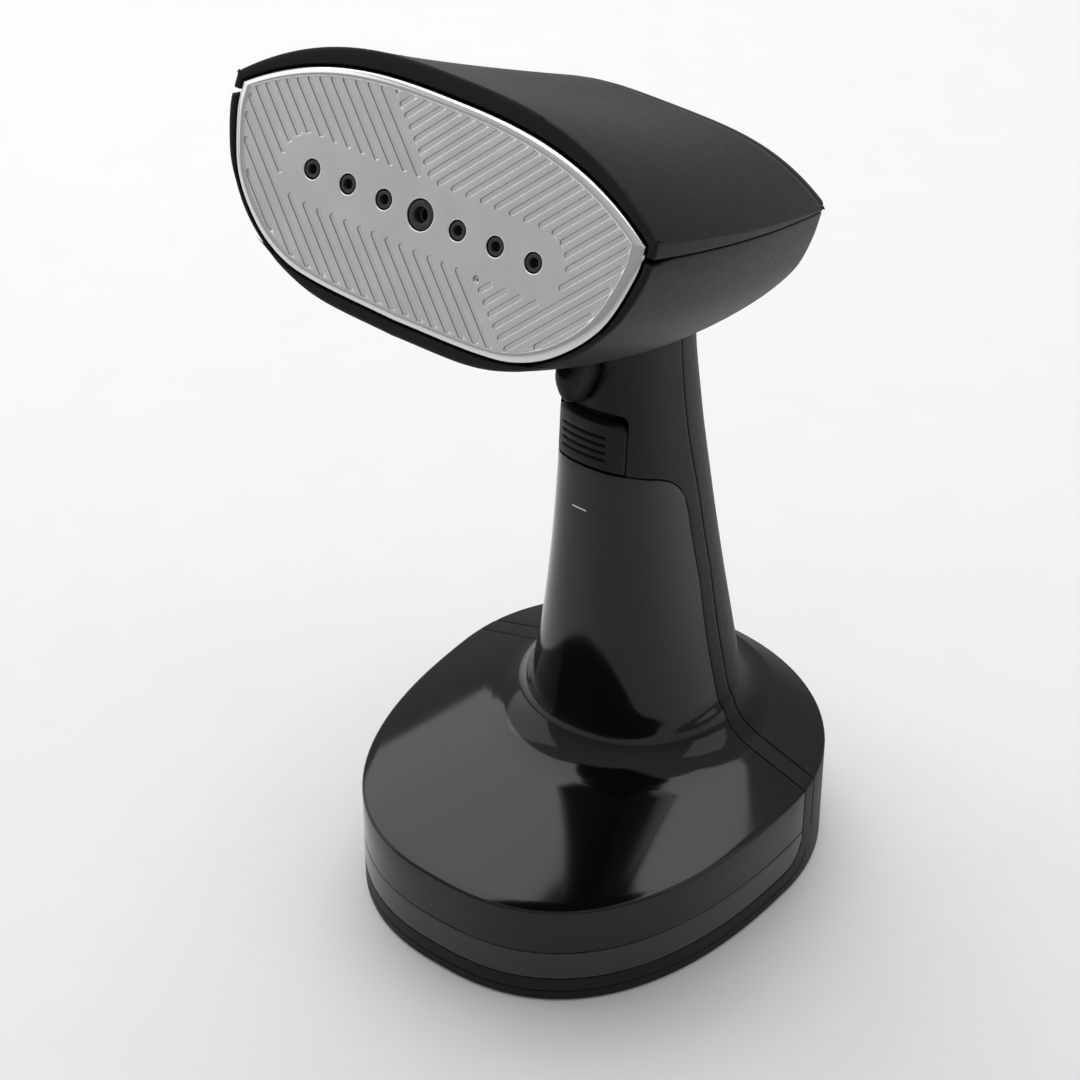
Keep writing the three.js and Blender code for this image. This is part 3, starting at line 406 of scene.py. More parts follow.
def on_hull(tau, theta, inset=0.0):
    """Points of the hull: tau counts levels, theta goes round (-90 degrees is the front)."""
    tau, theta, inset = np.broadcast_arrays(np.asarray(tau, float), theta, inset)
    k = np.clip(np.floor(tau), 0, len(LEVELS) - 2).astype(int)
    a = level_point(LEVELS[k], theta, inset)
    b = level_point(LEVELS[k + 1], theta, inset)
    return a + (b - a) * (tau - k)[..., None]


def tau_at(z):
    """Level number at a height. The base's top is one ruled span between its two ends."""
    return float(np.interp(z, LEVELS[:, 0], np.arange(len(LEVELS))))


def solve(function, low, high, target, rounds=30):
    """Halving search in each element for where a growing function reaches the target."""
    low, high = np.asarray(low, float), np.asarray(high, float)
    for _ in range(rounds):
        middle = 0.5 * (low + high)
        under = function(middle) < target
        low = np.where(under, middle, low)
        high = np.where(under, high, middle)
    return 0.5 * (low + high)


def theta_at_y(tau, y, inset=0.0):
    """Right-hand angle at which the level reaches y."""
    start = 0.0 * np.asarray(tau, float) - math.pi / 2
    return solve(lambda a: on_hull(tau, a, inset)[..., 1], start, start + math.pi, y)


def theta_at_x(tau, x, inset=0.0):
    """Front right-hand angle at which the level reaches x."""
    start = 0.0 * (np.asarray(tau, float) + np.asarray(x, float)) - math.pi / 2
    return solve(lambda a: on_hull(tau, a, inset)[..., 0], start, start + math.pi / 2, x)


# height, and how far the column's seams lie in front of their place in the base
LEAN = [(95.0, 0.0), (108.0, 1.5), (125.0, 3.3), (145.0, 6.6), (165.0, 8.6), (180.0, 9.6), (NECK_TOP_Z, 10.1)]
LEAN_TABLE = np.array([(z, monotone(*zip(*LEAN), z)) for z in np.linspace(LEAN[0][0], NECK_TOP_Z, 112)])


def lean(z):
    """How far the seams on the column lean forwards at a height."""
    return np.interp(z, LEAN_TABLE[:, 0], LEAN_TABLE[:, 1])


def lean_at(tau):
    return lean(np.interp(tau, np.arange(len(LEVELS)), LEVELS[:, 0]))


def mirrored(right):
    """A row of points from the middle of the front to the right-hand end, with its mirror image."""
    right = np.asarray(right)
    left = right[:0:-1] * MIRROR
    return np.concatenate([left, right])


def folded(right):
    """A row of points from the right-hand end to the middle, continued by its mirror image."""
    return np.concatenate([right, right[-2::-1] * MIRROR])


def base_edge_levels(steps):
    """Levels over the base's rounded edge and its sloping top, up to the foot of the column."""
    edge = [float(k) for k in range(int(tau_at(CREASE_Z - FOOT_EDGE)) + 1, CREASE_END + 1)]
    return edge + [CREASE_END + s for s in np.linspace(0.0, 1.0, steps)[1:-1]]


def side_grid(skin, rows):
    """Adds mirrored rows (each from x = 0 to the right-hand end) and returns the vertex numbers."""
    return skin.grid(np.array([mirrored(row) for row in rows]))


def row_pairs(index_row):
    """(right, left) vertex numbers of one row, from the middle outwards."""
    width = len(index_row)
    middle = width // 2
    return [(int(index_row[middle + i]), int(index_row[middle - i])) for i in range(middle + 1)]


# ------------------------------------------------------------------ tank
TANK_CORNER = 10.5
FLOOR_CORNER = 9.5
TANK_TOP_RANGE = (96.0, 160.0)


def tank_top(y, z, growth=0.0):
    """Height of the tank's sloping top edge at y, with its rounded rear corner as it lies at height z."""
    back = TANK_REAR_Y + growth - lean(z)
    corner = TANK_CORNER + growth
    edge = TANK_TOP_Z + growth - SLOPE * back
    inner = TANK_TOP_Z + growth - SLOPE * (back - corner)
    s = np.sqrt(np.maximum(0.0, back - y) / corner)
    bend = (edge - corner) * (1 - s) ** 2 + 2 * edge * s * (1 - s) + inner * s * s
    return np.where(y <= back - corner, TANK_TOP_Z + growth - SLOPE * y, bend)


def tank_floor(y, growth=0.0):
    """Height of the tank's underside, with its rounded rear corner."""
    corner = FLOOR_CORNER + growth
    centre = TANK_REAR_Y + growth - corner
    low = SHELF_Z - growth
    bend = low + corner - np.sqrt(np.maximum(0.0, corner ** 2 - (y - centre) ** 2))
    return np.where(y <= centre, low, bend)


SIDE_STEPS = 44


def shares(count=SIDE_STEPS):
    """Fractions from the middle of the front to the rear edge, closer together at the rear."""
    return np.sin(np.linspace(0.0, math.pi / 2, count))


def toward_edge(tau, share, limit_y, inset=0.0):
    """Angle at a share of the way from the middle of the front to the edge at limit_y."""
    return -math.pi / 2 + share * (theta_at_y(tau, limit_y - lean_at(tau), inset) + math.pi / 2)


def edge_tau(share, limit_y, height_of, low_tau, high_tau):
    """Levels at which the grid's columns meet a sloping or curved edge."""
    def above(tau):
        p = on_hull(tau, toward_edge(tau, share, limit_y))
        return p[..., 2] - height_of(np.minimum(p[..., 1], limit_y - lean_at(tau) - 1e-6), p[..., 2])
    start = 0.0 * share
    return solve(above, start + low_tau, start + high_tau, 0.0)


def hull_row(taus, fractions, limit_y):
    """Points of one bent row: one level number and one share per column."""
    return on_hull(taus, toward_edge(taus, fractions, limit_y))


def closed_patch(skin, rows):
    """Mirrored rows from the bottom up, closed across the underside, the back and the top."""
    index = side_grid(skin, rows)
    chain = row_pairs(index[0])
    chain += [(int(r[-1]), int(r[0])) for r in index[1:]]
    chain += row_pairs(index[-1])[::-1][1:]
    skin.pairs(chain)
    return index


BORE_START_Y = 22.0
# height, radius and far end of the holes along Y in the middle plane
PLUG_HOLE = (120.0, 5.5, 43.0)
PLUG_POCKET = (120.0, 7.3, 43.0)
VALVE_HOLE = (25.0, 3.7, 43.0)
VALVE_SOCKET = (25.0, 3.7, 40.0)


def bored(shell, centre_z, radius, end_y, start_y=BORE_START_Y, centre_x=0.0):
    """Cuts a round hole along Y."""
    profile = [(0.0, start_y), (radius, start_y), (radius, end_y), (0.0, end_y)]
    skin = Skin()
    skin.grid(lathe(profile, (centre_x, 0.0, centre_z), (0.0, 1.0, 0.0)), closed=True)
    cutter = skin.piece("cutter", "casing")
    bore = shell.modifiers.new("bore", "BOOLEAN")
    bore.operation = "DIFFERENCE"
    bore.solver = "EXACT"
    bore.object = cutter
    baked(shell)
    bpy.data.objects.remove(cutter)
    return shell


def build_tank():
    """The tank above its weld, with the sloping top and the hole for the filler plug."""
    skin = Skin()
    back = TANK_REAR_Y - GAP
    fractions = shares()
    start = tau_at(WELD_Z + GAP / 2)
    straight, highest = (tau_at(z) for z in TANK_TOP_RANGE)
    fixed = [start, tau_at(20.5), tau_at(26.0), tau_at(CREASE_Z - FOOT_EDGE)]
    fixed += base_edge_levels(15)
    fixed += [float(k) for k in range(CREASE_END + 1, int(straight) + 1)]
    fixed.append(straight)
    rows = [hull_row(tau + 0.0 * fractions, fractions, back) for tau in fixed]
    tops = edge_tau(fractions, back, lambda y, z: tank_top(y, z, -GAP), straight, highest)
    for s in np.linspace(0.0, 1.0, 13)[1:]:
        rows.append(hull_row(straight + s * (tops - straight), fractions, back))
    closed_patch(skin, rows)
    shell = rounded(skin.piece("tank_shell", "smoked_tank", body="tank"), 0.35)
    return bored(shell, *PLUG_HOLE)


def build_tray():
    """The lighter band below the weld."""
    skin = Skin()
    back = TANK_REAR_Y - GAP
    fractions = shares()
    top = tau_at(WELD_Z - GAP / 2)
    lows = edge_tau(fractions, back, lambda y, z: tank_floor(y, -GAP), tau_at(SHELF_Z), top)
    rows = []
    for s in (0.0, 0.12, 0.3, 0.55, 0.8, 1.0):
        rows.append(hull_row(lows + s * (top - lows), fractions, back))
    closed_patch(skin, rows)
    return rounded(skin.piece("tank_tray_shell", "tank_tray", body="tank"), 0.35)


settle(build_tank(), "water_tank")
settle(build_tray(), "tank_tray")


# ------------------------------------------------------------------ front housing
LATCH_HALF = 11.7
LATCH_HEIGHT = 15.6
LATCH_POCKET = 4.2
SLOT_HALF = 5.3
SLOT_POINT_Z = 166.4
SLOT_RISE = 11.6
RECESS = 4.2
SLOT_DEPTH = 11.0
RIM_WIDTH = 3.5
RIM_DEPTH = 1.7
RIM_POINT_Z = 164.6
RIM_RISE = 13.4
POCKET_CORNER = 2.0
RIM_CORNER = 13.0      # rounded rear corner of the rear cover's rim
HEAD_START_Z = 203.0
LEAST_STEP = 0.04
SLOT_SEARCH_Z = 200.0


def pocket_top(x, y):
    """Upper end of the recess in which the latch slides, with rounded corners."""
    over = np.maximum(0.0, np.abs(x) - (LATCH_HALF - POCKET_CORNER))
    drop = POCKET_CORNER - np.sqrt(np.maximum(0.0, POCKET_CORNER ** 2 - over ** 2))
    return TANK_TOP_Z + GAP + LATCH_HEIGHT + LATCH_POCKET - SLOPE * y - drop


def slot_bottom(x):
    """Lower end of the trigger slot: straight sides that run down to a rounded point."""
    return SLOT_POINT_Z + SLOT_RISE * np.minimum(1.0, np.abs(x) / SLOT_HALF) ** 1.7


def rim_bottom(x):
    """Outer edge of the slope round the trigger slot."""
    return RIM_POINT_Z + RIM_RISE * np.minimum(1.0, np.abs(x) / (SLOT_HALF + RIM_WIDTH)) ** 1.5


def build_housing_band():
    """The strip between the tank and the rear cover: under the tank, round its corner and up both sides."""
    rows = []
    corner_tau = float(edge_tau(np.ones(1), TANK_REAR_Y, tank_top, tau_at(90.0), tau_at(160.0))[0])
    path = [("floor", share) for share in np.linspace(0.0, 1.0, 34)]
    path += [("corner", share) for share in np.linspace(0.0, 1.0, 12)[1:]]
    path += [("level", tau_at(z)) for z in np.linspace(19.5, CREASE_Z - FOOT_EDGE, 4)[1:]]
    path += [("level", tau) for tau in base_edge_levels(13)]
    path += [("level", float(k)) for k in range(CREASE_END + 1, int(corner_tau) + 1)]
    path.append(("level", corner_tau))
    inner_radius, outer_radius = FLOOR_CORNER, RIM_CORNER - GAP
    inner_centre, outer_centre = TANK_REAR_Y - inner_radius, COVER_SEAM_Y - GAP - outer_radius
    inner_low, outer_low = SHELF_Z, RIM_Z + GAP
    tau_floor = tau_at(inner_low)
    for kind, value in path:
        if kind == "floor":
            end_in = theta_at_y(tau_floor, inner_centre)
            end_out = theta_at_y(tau_at(outer_low), outer_centre)
            a = (tau_floor, -math.pi / 2 + value * (end_in + math.pi / 2))
            b = (tau_at(outer_low), -math.pi / 2 + value * (end_out + math.pi / 2))
        elif kind == "corner":
            turn = value * math.pi / 2
            ya = inner_centre + inner_radius * math.sin(turn)
            yb = outer_centre + outer_radius * math.sin(turn)
            ta = tau_at(inner_low + inner_radius * (1 - math.cos(turn)))
            tb = tau_at(outer_low + outer_radius * (1 - math.cos(turn)))
            a = (ta, theta_at_y(ta, ya))
            b = (tb, theta_at_y(tb, yb))
        else:
            a = (value, theta_at_y(value, TANK_REAR_Y - lean_at(value)))
            b = (value, theta_at_y(value, COVER_SEAM_Y - GAP - lean_at(value)))
        s = np.linspace(0.0, 1.0, 5)
        rows.append(on_hull(a[0] + s * (b[0] - a[0]), a[1] + s * (b[1] - a[1])))
    return rows


def build_housing():
    """Front of the handle with the latch's recess and the trigger slot, and the band round the tank."""
    skin = Skin()
    band = np.array(build_housing_band())
    top_tau = tau_at(band[-1][0][2])
    side = skin.grid(band)
    other = skin.grid(band * MIRROR)

    columns = {"middle": np.linspace(0.0, 1.0, 9), "rim": np.linspace(0.0, 1.0, 4), "slot": np.linspace(0.0, 1.0, 5),
               "latch": shares(12), "strip": np.linspace(0.0, 1.0, 5)[1:]}
    high_tau, head_tau = tau_at(SLOT_SEARCH_Z), tau_at(HEAD_START_Z)

    def theta_of(tau, kind, share, inset=0.0):
        if kind == "middle":
            return -math.pi / 2 + share * (theta_at_x(tau, SLOT_HALF, inset) + math.pi / 2)
        if kind == "rim":
            x = SLOT_HALF + share * RIM_WIDTH
            return theta_at_x(tau, x + 0.0 * tau, inset)
        if kind == "slot":
            a, b = theta_at_x(tau, SLOT_HALF + RIM_WIDTH, inset), theta_at_x(tau, LATCH_HALF, inset)
        elif kind == "latch":
            a, b = theta_at_x(tau, LATCH_HALF, inset), theta_at_y(tau, TANK_REAR_Y - lean_at(tau), inset)
        else:
            a = theta_at_y(tau, TANK_REAR_Y - lean_at(tau), inset)
            b = theta_at_y(tau, COVER_SEAM_Y - GAP - lean_at(tau), inset)
        return a + share * (b - a)

    def crossing(kind, share, height_of, high):
        def above(tau):
            p = on_hull(tau, theta_of(tau, kind, share))
            return p[..., 2] - height_of(p[..., 0], p[..., 1], p[..., 2])
        return solve(above, top_tau + 0.0 * share, high + 0.0 * share, 0.0)

    stops = {}
    for kind, share in columns.items():
        first = crossing(kind, share, lambda x, y, z: tank_top(y, z), tau_at(TANK_TOP_RANGE[1]))
        if kind == "strip":
            first = top_tau + 0.0 * share
        if kind == "latch":
            first[-1] = top_tau
        pocket = crossing(kind, share, lambda x, y, z: pocket_top(x, y), high_tau)
        rim = crossing(kind, share, lambda x, y, z: np.maximum(rim_bottom(x), pocket_top(x, y) + 0.5),
                       high_tau)
        slot = crossing(kind, share, lambda x, y, z: np.maximum(slot_bottom(x), pocket_top(x, y) + 1.2),
                        high_tau)
        pocket = np.maximum(pocket, first)
        rim = np.maximum(rim, pocket + LEAST_STEP)
        stops[kind] = [first, pocket, rim, np.maximum(slot, rim + LEAST_STEP), head_tau + 0.0 * share]

    def pushed_in(zone, kind, share, s):
        """How far a point lies under the surface, in the latch's recess, the slot or the slot's sloping rim."""
        if zone == "latch" and kind in ("middle", "rim", "slot"):
            return RECESS + 0.0 * share
        if zone == "trigger" and kind == "middle":
            return SLOT_DEPTH + 0.0 * share
        if kind == "rim":
            return RIM_DEPTH * (1.0 - share) * {"slope": s, "trigger": 1.0}.get(zone, 0.0)
        if zone == "slope" and kind == "middle":
            return RIM_DEPTH * s + 0.0 * share
        return 0.0 * share

    grid_rows = []
    for zone, low, count in (("latch", 0, 9), ("bar", 1, 4), ("slope", 2, 4), ("trigger", 3, 14)):
        for s in np.linspace(0.0, 1.0, count):
            row = []
            for kind, share in columns.items():
                tau = stops[kind][low] + s * (stops[kind][low + 1] - stops[kind][low])
                inset = pushed_in(zone, kind, share, s)
                row.append(on_hull(tau, theta_of(tau, kind, share, inset), inset))
            grid_rows.append(mirrored(np.concatenate(row)))
    index = skin.grid(np.array(grid_rows))
    chain = [(int(side[i][0]), int(other[i][0])) for i in range(len(band))]
    chain += row_pairs(index[0])[:-len(columns["strip"])][::-1]
    skin.pairs(chain)
    chain = [(int(side[i][-1]), int(other[i][-1])) for i in range(len(band))]
    chain += [(int(r[-1]), int(r[0])) for r in index]
    chain += row_pairs(index[-1])[::-1]
    skin.pairs(chain)
    shell = rounded(skin.piece("housing_shell", "casing"), 0.3)
    return bored(bored(shell, *PLUG_POCKET), *VALVE_HOLE)


settle(build_housing(), "front_housing")


# ------------------------------------------------------------------ rear cover
def spline_outline(points, count):
    """Smooth curve through the points, evenly spaced along its length."""
    points = np.array(points, float)
    padded = np.vstack([2 * points[0] - points[1], points, 2 * points[-1] - points[-2]])
    fine = []
    for i in range(1, len(padded) - 2):
        p0, p1, p2, p3 = padded[i - 1:i + 3]
        for t in np.linspace(0.0, 1.0, 40, endpoint=False):
            fine.append(0.5 * ((2 * p1) + (p2 - p0) * t + (2 * p0 - 5 * p1 + 4 * p2 - p3) * t * t
                               + (3 * p1 - p0 - 3 * p2 + p3) * t ** 3))
    fine.append(padded[-2])
    fine = np.array(fine)
    lengths = np.concatenate([[0.0], np.cumsum(np.linalg.norm(np.diff(fine, axis=0), axis=1))])
    wanted = np.linspace(0.0, lengths[-1], count)
    return np.stack([np.interp(wanted, lengths, fine[:, k]) for k in range(2)], -1)


# lower half outlines from the corner to the middle, as shares of the half width and of the drop
CASING_OUTLINE = [(1, 0), (0.998, 0.19), (0.947, 0.424), (0.885, 0.565), (0.804, 0.697), (0.695, 0.814),
                  (0.554, 0.915), (0.35, 0.983), (0, 1)]
PLATE_OUTLINE = [(1, 0), (0.995, 0.19), (0.92, 0.53), (0.775, 0.78), (0.605, 0.927), (0.4, 0.982), (0, 1)]
BACK_OUTLINE = [(1, 0), (0.945, 0.18), (0.845, 0.375), (0.63, 0.61), (0.4, 0.8), (0.2, 0.92), (0, 1)]
BACK = dict(half=51.5, corner=230.2, apex=243.5, bottom=170.8, power=3.4, outline=BACK_OUTLINE)
CASING = dict(half=66.0, corner=15.7, apex=35.0, bottom=-31.3, power=2.75, outline=CASING_OUTLINE)
PLATE = dict(half=63.2, corner=13.9, apex=29.6, bottom=-27.6, power=2.75, outline=PLATE_OUTLINE)


def arch(form, count):
    """Right corner over the top to the middle: (x, height)."""
    angle = np.linspace(0.0, math.pi / 2, count)
    x = np.cos(angle)
    height = form["corner"] + (form["apex"] - form["corner"]) * (1 - x ** form["power"])
    return np.stack([form["half"] * x, height], -1)


def lower(form, count):
    """Right corner down to the middle of the underside."""
    curve = spline_outline(form["outline"], count)
    height = form["corner"] + (form["bottom"] - form["corner"]) * curve[:, 1]
    return np.stack([form["half"] * curve[:, 0], height], -1)


def inset_curve(points, amount, arch_side):
    """Moves an open half outline inwards along its own normals; its middle stays on x = 0."""
    points = np.asarray(points, float)
    tangent = np.gradient(points, axis=0)
    tangent[-1] = (-1.0, 0.0)
    tangent /= np.linalg.norm(tangent, axis=1)[:, None]
    normal = np.stack([-tangent[:, 1], tangent[:, 0]], -1) * (1.0 if arch_side else -1.0)
    return points + amount * normal


def whole_outline(form, steps):
    """Closed outline, anticlockwise from the right corner."""
    over = arch(form, steps)
    under = lower(form, steps)
    left_over = over[-2::-1] * np.array([-1.0, 1.0])
    left_under = under[1:] * np.array([-1.0, 1.0])
    return np.concatenate([over, left_over, left_under, under[-2:0:-1]])


def shrunk(form, **less):
    """The form with some of its sizes changed by the given amounts."""
    return {**form, **{k: form[k] + v for k, v in less.items()}}


def back_form(shrink):
    return shrunk(BACK, half=-1.3 * shrink, corner=-0.3 * shrink, apex=-shrink, bottom=1.4 * shrink)


def build_rear_cover():
    """Back of base and handle, with the low rim that runs round under the tank."""
    skin = Skin()
    seam = COVER_SEAM_Y
    corner = RIM_CORNER
    front_share = np.linspace(0.0, 1.0, 40)
    rear_share = np.linspace(0.0, 1.0, 30)[1:]
    share = np.concatenate([front_share, rear_share])
    is_front = np.arange(len(share)) < len(front_share)

    def rim_height(y):
        centre = seam - corner
        bend = RIM_Z + corner - np.sqrt(np.maximum(0.0, corner ** 2 - (np.minimum(y, seam) - centre) ** 2))
        return np.where(y <= centre, RIM_Z, bend)

    def split_angle(tau):
        end = theta_at_y(tau, seam - lean_at(tau))
        return np.where(is_front, -math.pi / 2 + share * (end + math.pi / 2), end + share * (math.pi / 2 - end))

    def above_rim(tau):
        p = on_hull(tau, split_angle(tau))
        return p[..., 2] - rim_height(p[..., 1])

    tau_rim = tau_at(RIM_Z + corner)
    start = 0.0 * share
    tops = solve(above_rim, start + tau_at(FOOT_HEIGHT + 0.8), start + tau_at(20.0), 0.0)
    tops[len(front_share) - 1:] = tau_rim
    rows = [on_hull(start, split_angle(start), 2.7) + np.array([0.0, 0.0, lift]) for lift in (2.8, 0.0)]
    rows += [on_hull(start + tau, split_angle(start + tau)) for tau in (0.0, 1.0, 2.0)]
    for part in np.linspace(0.0, 1.0, 5)[1:]:
        tau = 2.0 + part * (tops - 2.0)
        rows.append(on_hull(tau, split_angle(tau)))
    ring = side_grid(skin, rows)
    skin.pairs(row_pairs(ring[0]))
    upper = [tau_rim] + [tau_at(z) for z in (19.0, 23.0, 28.0, CREASE_Z - FOOT_EDGE)]
    upper += base_edge_levels(13)
    upper += [float(k) for k in range(CREASE_END + 1, len(LEVELS))]
    edge = len(front_share) - 1
    index = skin.grid([folded(on_hull(start + tau, split_angle(start + tau))[edge:]) for tau in upper])
    chain = row_pairs(ring[-1])[:edge + 1]
    chain += [(int(row[0]), int(row[-1])) for row in index]
    half = index.shape[1] // 2
    chain += [(int(index[-1][i]), int(index[-1][-1 - i])) for i in range(1, half + 1)]
    skin.pairs(chain)
    return skin


def add_dome(skin):
    """The bulged back of the head."""
    def outline(y, shrink):
        return [(x, y, z) for x, z in whole_outline(back_form(shrink), 40)]

    rows = [outline(COVER_SEAM_Y, 2.6)]
    for s in np.concatenate([np.linspace(0.0, 0.9, 14), [0.95, 0.985, 1.0]]):
        turn = s * math.pi / 2
        rows.append(outline(COVER_SEAM_Y + DOME_DEPTH * math.sin(turn), 0.4 + 10.0 * (1 - math.cos(turn)) + 4.0 * s))
    index = skin.grid(rows, closed=True)
    width = index.shape[1]
    for ring in (index[0], index[-1]):
        skin.pairs([(int(ring[i]), int(ring[-i % width])) for i in range(width // 2 + 1)])


DOME_DEPTH = 9.0
WELL_RADIUS = 3.2
WELL_FLOOR_Y = 46.0
WELL_END_Y = 95.0


def drill_wells(shell):
    """Cuts the wells in which the rear cover's screws sit, down to the height of the CAD screws."""
    for number in range(1, 5):
        screw = box_middle(f"cover_screw_{number}")
        bored(shell, screw.z, WELL_RADIUS, WELL_END_Y, WELL_FLOOR_Y, screw.x)
    return shell


rear_skin = build_rear_cover()
add_dome(rear_skin)
rear_shell = drill_wells(rounded(rear_skin.piece("rear_shell", "casing"), 0.35))
settle(bored(bored(rear_shell, *VALVE_SOCKET), *PLUG_POCKET), "rear_cover")


# ------------------------------------------------------------------ head
def on_head(u, up, back):
    """Points from head coordinates: across, up along the plate, and backwards from its face."""
    u, up, back = np.broadcast_arrays(np.asarray(u, float), up, back)
    return np.stack([u, HEAD_Y + up * math.sin(TILT) + back * math.cos(TILT),
                     HEAD_Z + up * math.cos(TILT) - back * math.sin(TILT)], -1)


BULGE = 3.6
HEAD_START = 1.2
FINE = 400


def head_curve(s, inset, under):
    """Half outline of the head at share s of its depth, from the right corner to the middle."""
    pick = lower if under else arch
    front = inset_curve(pick(CASING, FINE), inset, not under)
    rear = inset_curve(pick(BACK, FINE), inset, not under)
    share = (CASING["corner"] - pick(CASING, FINE)[:, 1]) / (CASING["corner"] - CASING["bottom"])
    swell = 4.0 * BULGE * s * (1.0 - s)
    ends = np.stack([rear[:, 0], COVER_SEAM_Y - GAP + 0.0 * share, rear[:, 1]], -1)
    out = on_head(front[:, 0], front[:, 1], HEAD_START) * (1 - s) + ends * s
    out[:, 0] *= 1 + swell / CASING["half"]
    out[:, 2] -= swell * np.abs(share)
    return out


def mouth_curve(back, under, grow=0.5):
    """Half outline of the opening that holds the plate."""
    pick = lower if under else arch
    edge = inset_curve(pick(PLATE, FINE), -grow, not under)
    return on_head(edge[:, 0], edge[:, 1], back)


def seam_height(y, offset):
    """Height of the seam between the head's cover and casing at y."""
    edge = on_head(0.0, CASING["corner"] - 4.6, 0.0)
    slope = (edge[2] - BACK["corner"] + 1.4) / (COVER_SEAM_Y - edge[1])
    return edge[2] + offset - slope * (y - edge[1])


def split(curve, offset, widen=0.0):
    """Share of the lower curve at which it meets the cover's seam, which may widen near the front."""
    away = curve[:, 1] - on_head(0.0, CASING["corner"], HEAD_START)[1]
    gap = curve[:, 2] - seam_height(curve[:, 1], offset) + widen * np.exp(-np.maximum(away, 0) / 3.0)
    below = np.argmax(gap < 0)
    a, b = gap[below - 1], gap[below]
    return (below - 1 + a / (a - b)) / (len(curve) - 1)


def resample(curve, start, end, count):
    """Points spread between two shares of the curve."""
    at = (start + (end - start) * np.linspace(0.0, 1.0, count)) * (len(curve) - 1)
    return np.stack([np.interp(at, np.arange(len(curve)), curve[:, k]) for k in range(3)], -1)


HEAD_WALL = 2.2
HEAD_SHARES = [0.004, 0.012, 0.03] + list(np.linspace(0.06, 1.0, 26))


def head_rows(under):
    """Half curves of the head's shell: in its mouth, along the outside to the back, along the inside again."""
    rows = [mouth_curve(9.0, under), mouth_curve(HEAD_START + 0.5, under), mouth_curve(HEAD_START, under, 0.9)]
    rows.append(head_curve(0.0, 1.1, under))
    rows.append(head_curve(0.0, 0.45, under) + np.array([0, 0.12, 0]))
    rows += [head_curve(s, 0.0, under) for s in HEAD_SHARES]
    rows += [head_curve(s, HEAD_WALL, under) for s in HEAD_SHARES[::-3] if s > 0.12]
    return rows


def build_head(cover):
    """The head's top cover, or the casing below its seam."""
    skin = Skin()
    columns = []
    lower_rows = head_rows(True)
    upper_rows = head_rows(False) if cover else None
    for k, curve in enumerate(lower_rows):
        if cover:
            at = split(curve, GAP)
            lip = resample(curve, at, 0.0, 5)
            over = resample(upper_rows[k], 0.0, 1.0, 45)[1:]
            columns.append(np.concatenate([lip, over]))
        else:
            at = split(curve, 0.0, 1.3)
            columns.append(resample(curve, at, 1.0, 60))
    rows = [folded(column) for column in columns]
    index = skin.grid(rows + rows[:1])
    for end in (0, -1):
        skin.faces.append(tuple(int(v) for v in index[:-1, end]))
    return skin


settle(rounded(build_head(True).piece("cover_shell", "casing"), 0.45, angle=30.0), "top_cover")
settle(rounded(build_head(False).piece("casing_shell", "casing"), 0.4, angle=40.0), "head_casing")


# ------------------------------------------------------------------ steam plate
HOLE_PITCH = 11.67
HOLES = [(HOLE_PITCH * (i - 3), 3.75 if i == 3 else 2.35) for i in range(7)]
GROOVE_PITCH = 4.47
GROOVE_HALF = 0.86
GROOVE_DEPTH = 0.42
# share of the half width, share of the depth, finish: 1 is the bright lip, 2 the side wall darkened with painted shade
GROOVE_PROFILE = [(0.93, 0.12, 1), (0.86, 0.4, 2), (0.78, 0.8, 2), (0.68, 0.98, 0), (0.5, 1.0, 0)]
GROOVE_SPAN = 62.0
GROOVE_TOP = 27.5
# where the two leaning fields meet, above and below the band
FIELD_BORDER_ABOVE, FIELD_BORDER_BELOW = 10.3, 11.2
DIMPLES = [(-15.8, 26.3), (20.4, -9.6)]
DIMPLE_SCALE = 0.72
BAND_HALF_LENGTH = 36.0
BAND_RADIUS = 9.1
HOLE_SIDES = 36
# growth of a hole's radius, and depth below the plate's face
HOLE_MOUTH = 0.62
HOLE_PROFILE = [(0.42, 0.24), (0.3, 0.36), (0.26, 0.7), (0.26, 2.4)]
# shrinking of the outline, and depth below the head's front
RIM_PROFILE = [(2.4, 2.4), (0.25, 2.4), (0.0, 2.2), (0.0, 1.5), (0.12, 1.1), (0.4, 0.7), (0.8, 0.38), (1.3, 0.15),
               (1.75, 0.04), (2.1, 0.02), (2.35, 0.12), (2.6, 0.2)]
PLATE_STEPS = 90
PLATE_SHARP = 60.0


def plate_form(shrink):
    return shrunk(PLATE, half=-1.35 * shrink, corner=-0.2 * shrink, apex=-shrink, bottom=shrink)


def inside_outline(outline, p):
    """Even-odd test of points (..., 2) against a closed outline."""
    p = np.asarray(p, float)
    x, y = p[..., 0, None], p[..., 1, None]
    x0, y0 = outline[:, 0], outline[:, 1]
    x1, y1 = np.roll(x0, -1), np.roll(y0, -1)
    rise = np.where(y1 == y0, 1e-12, y1 - y0)
    hits = ((y0 > y) != (y1 > y)) & (x < x0 + (y - y0) * (x1 - x0) / rise)
    return hits.sum(-1) % 2 == 1


def outside_band(p):
    """Whether points lie clear of the plain band with the holes."""
    along = np.maximum(0.0, np.abs(p[..., 0]) - BAND_HALF_LENGTH)
    return np.hypot(along, p[..., 1]) >= BAND_RADIUS


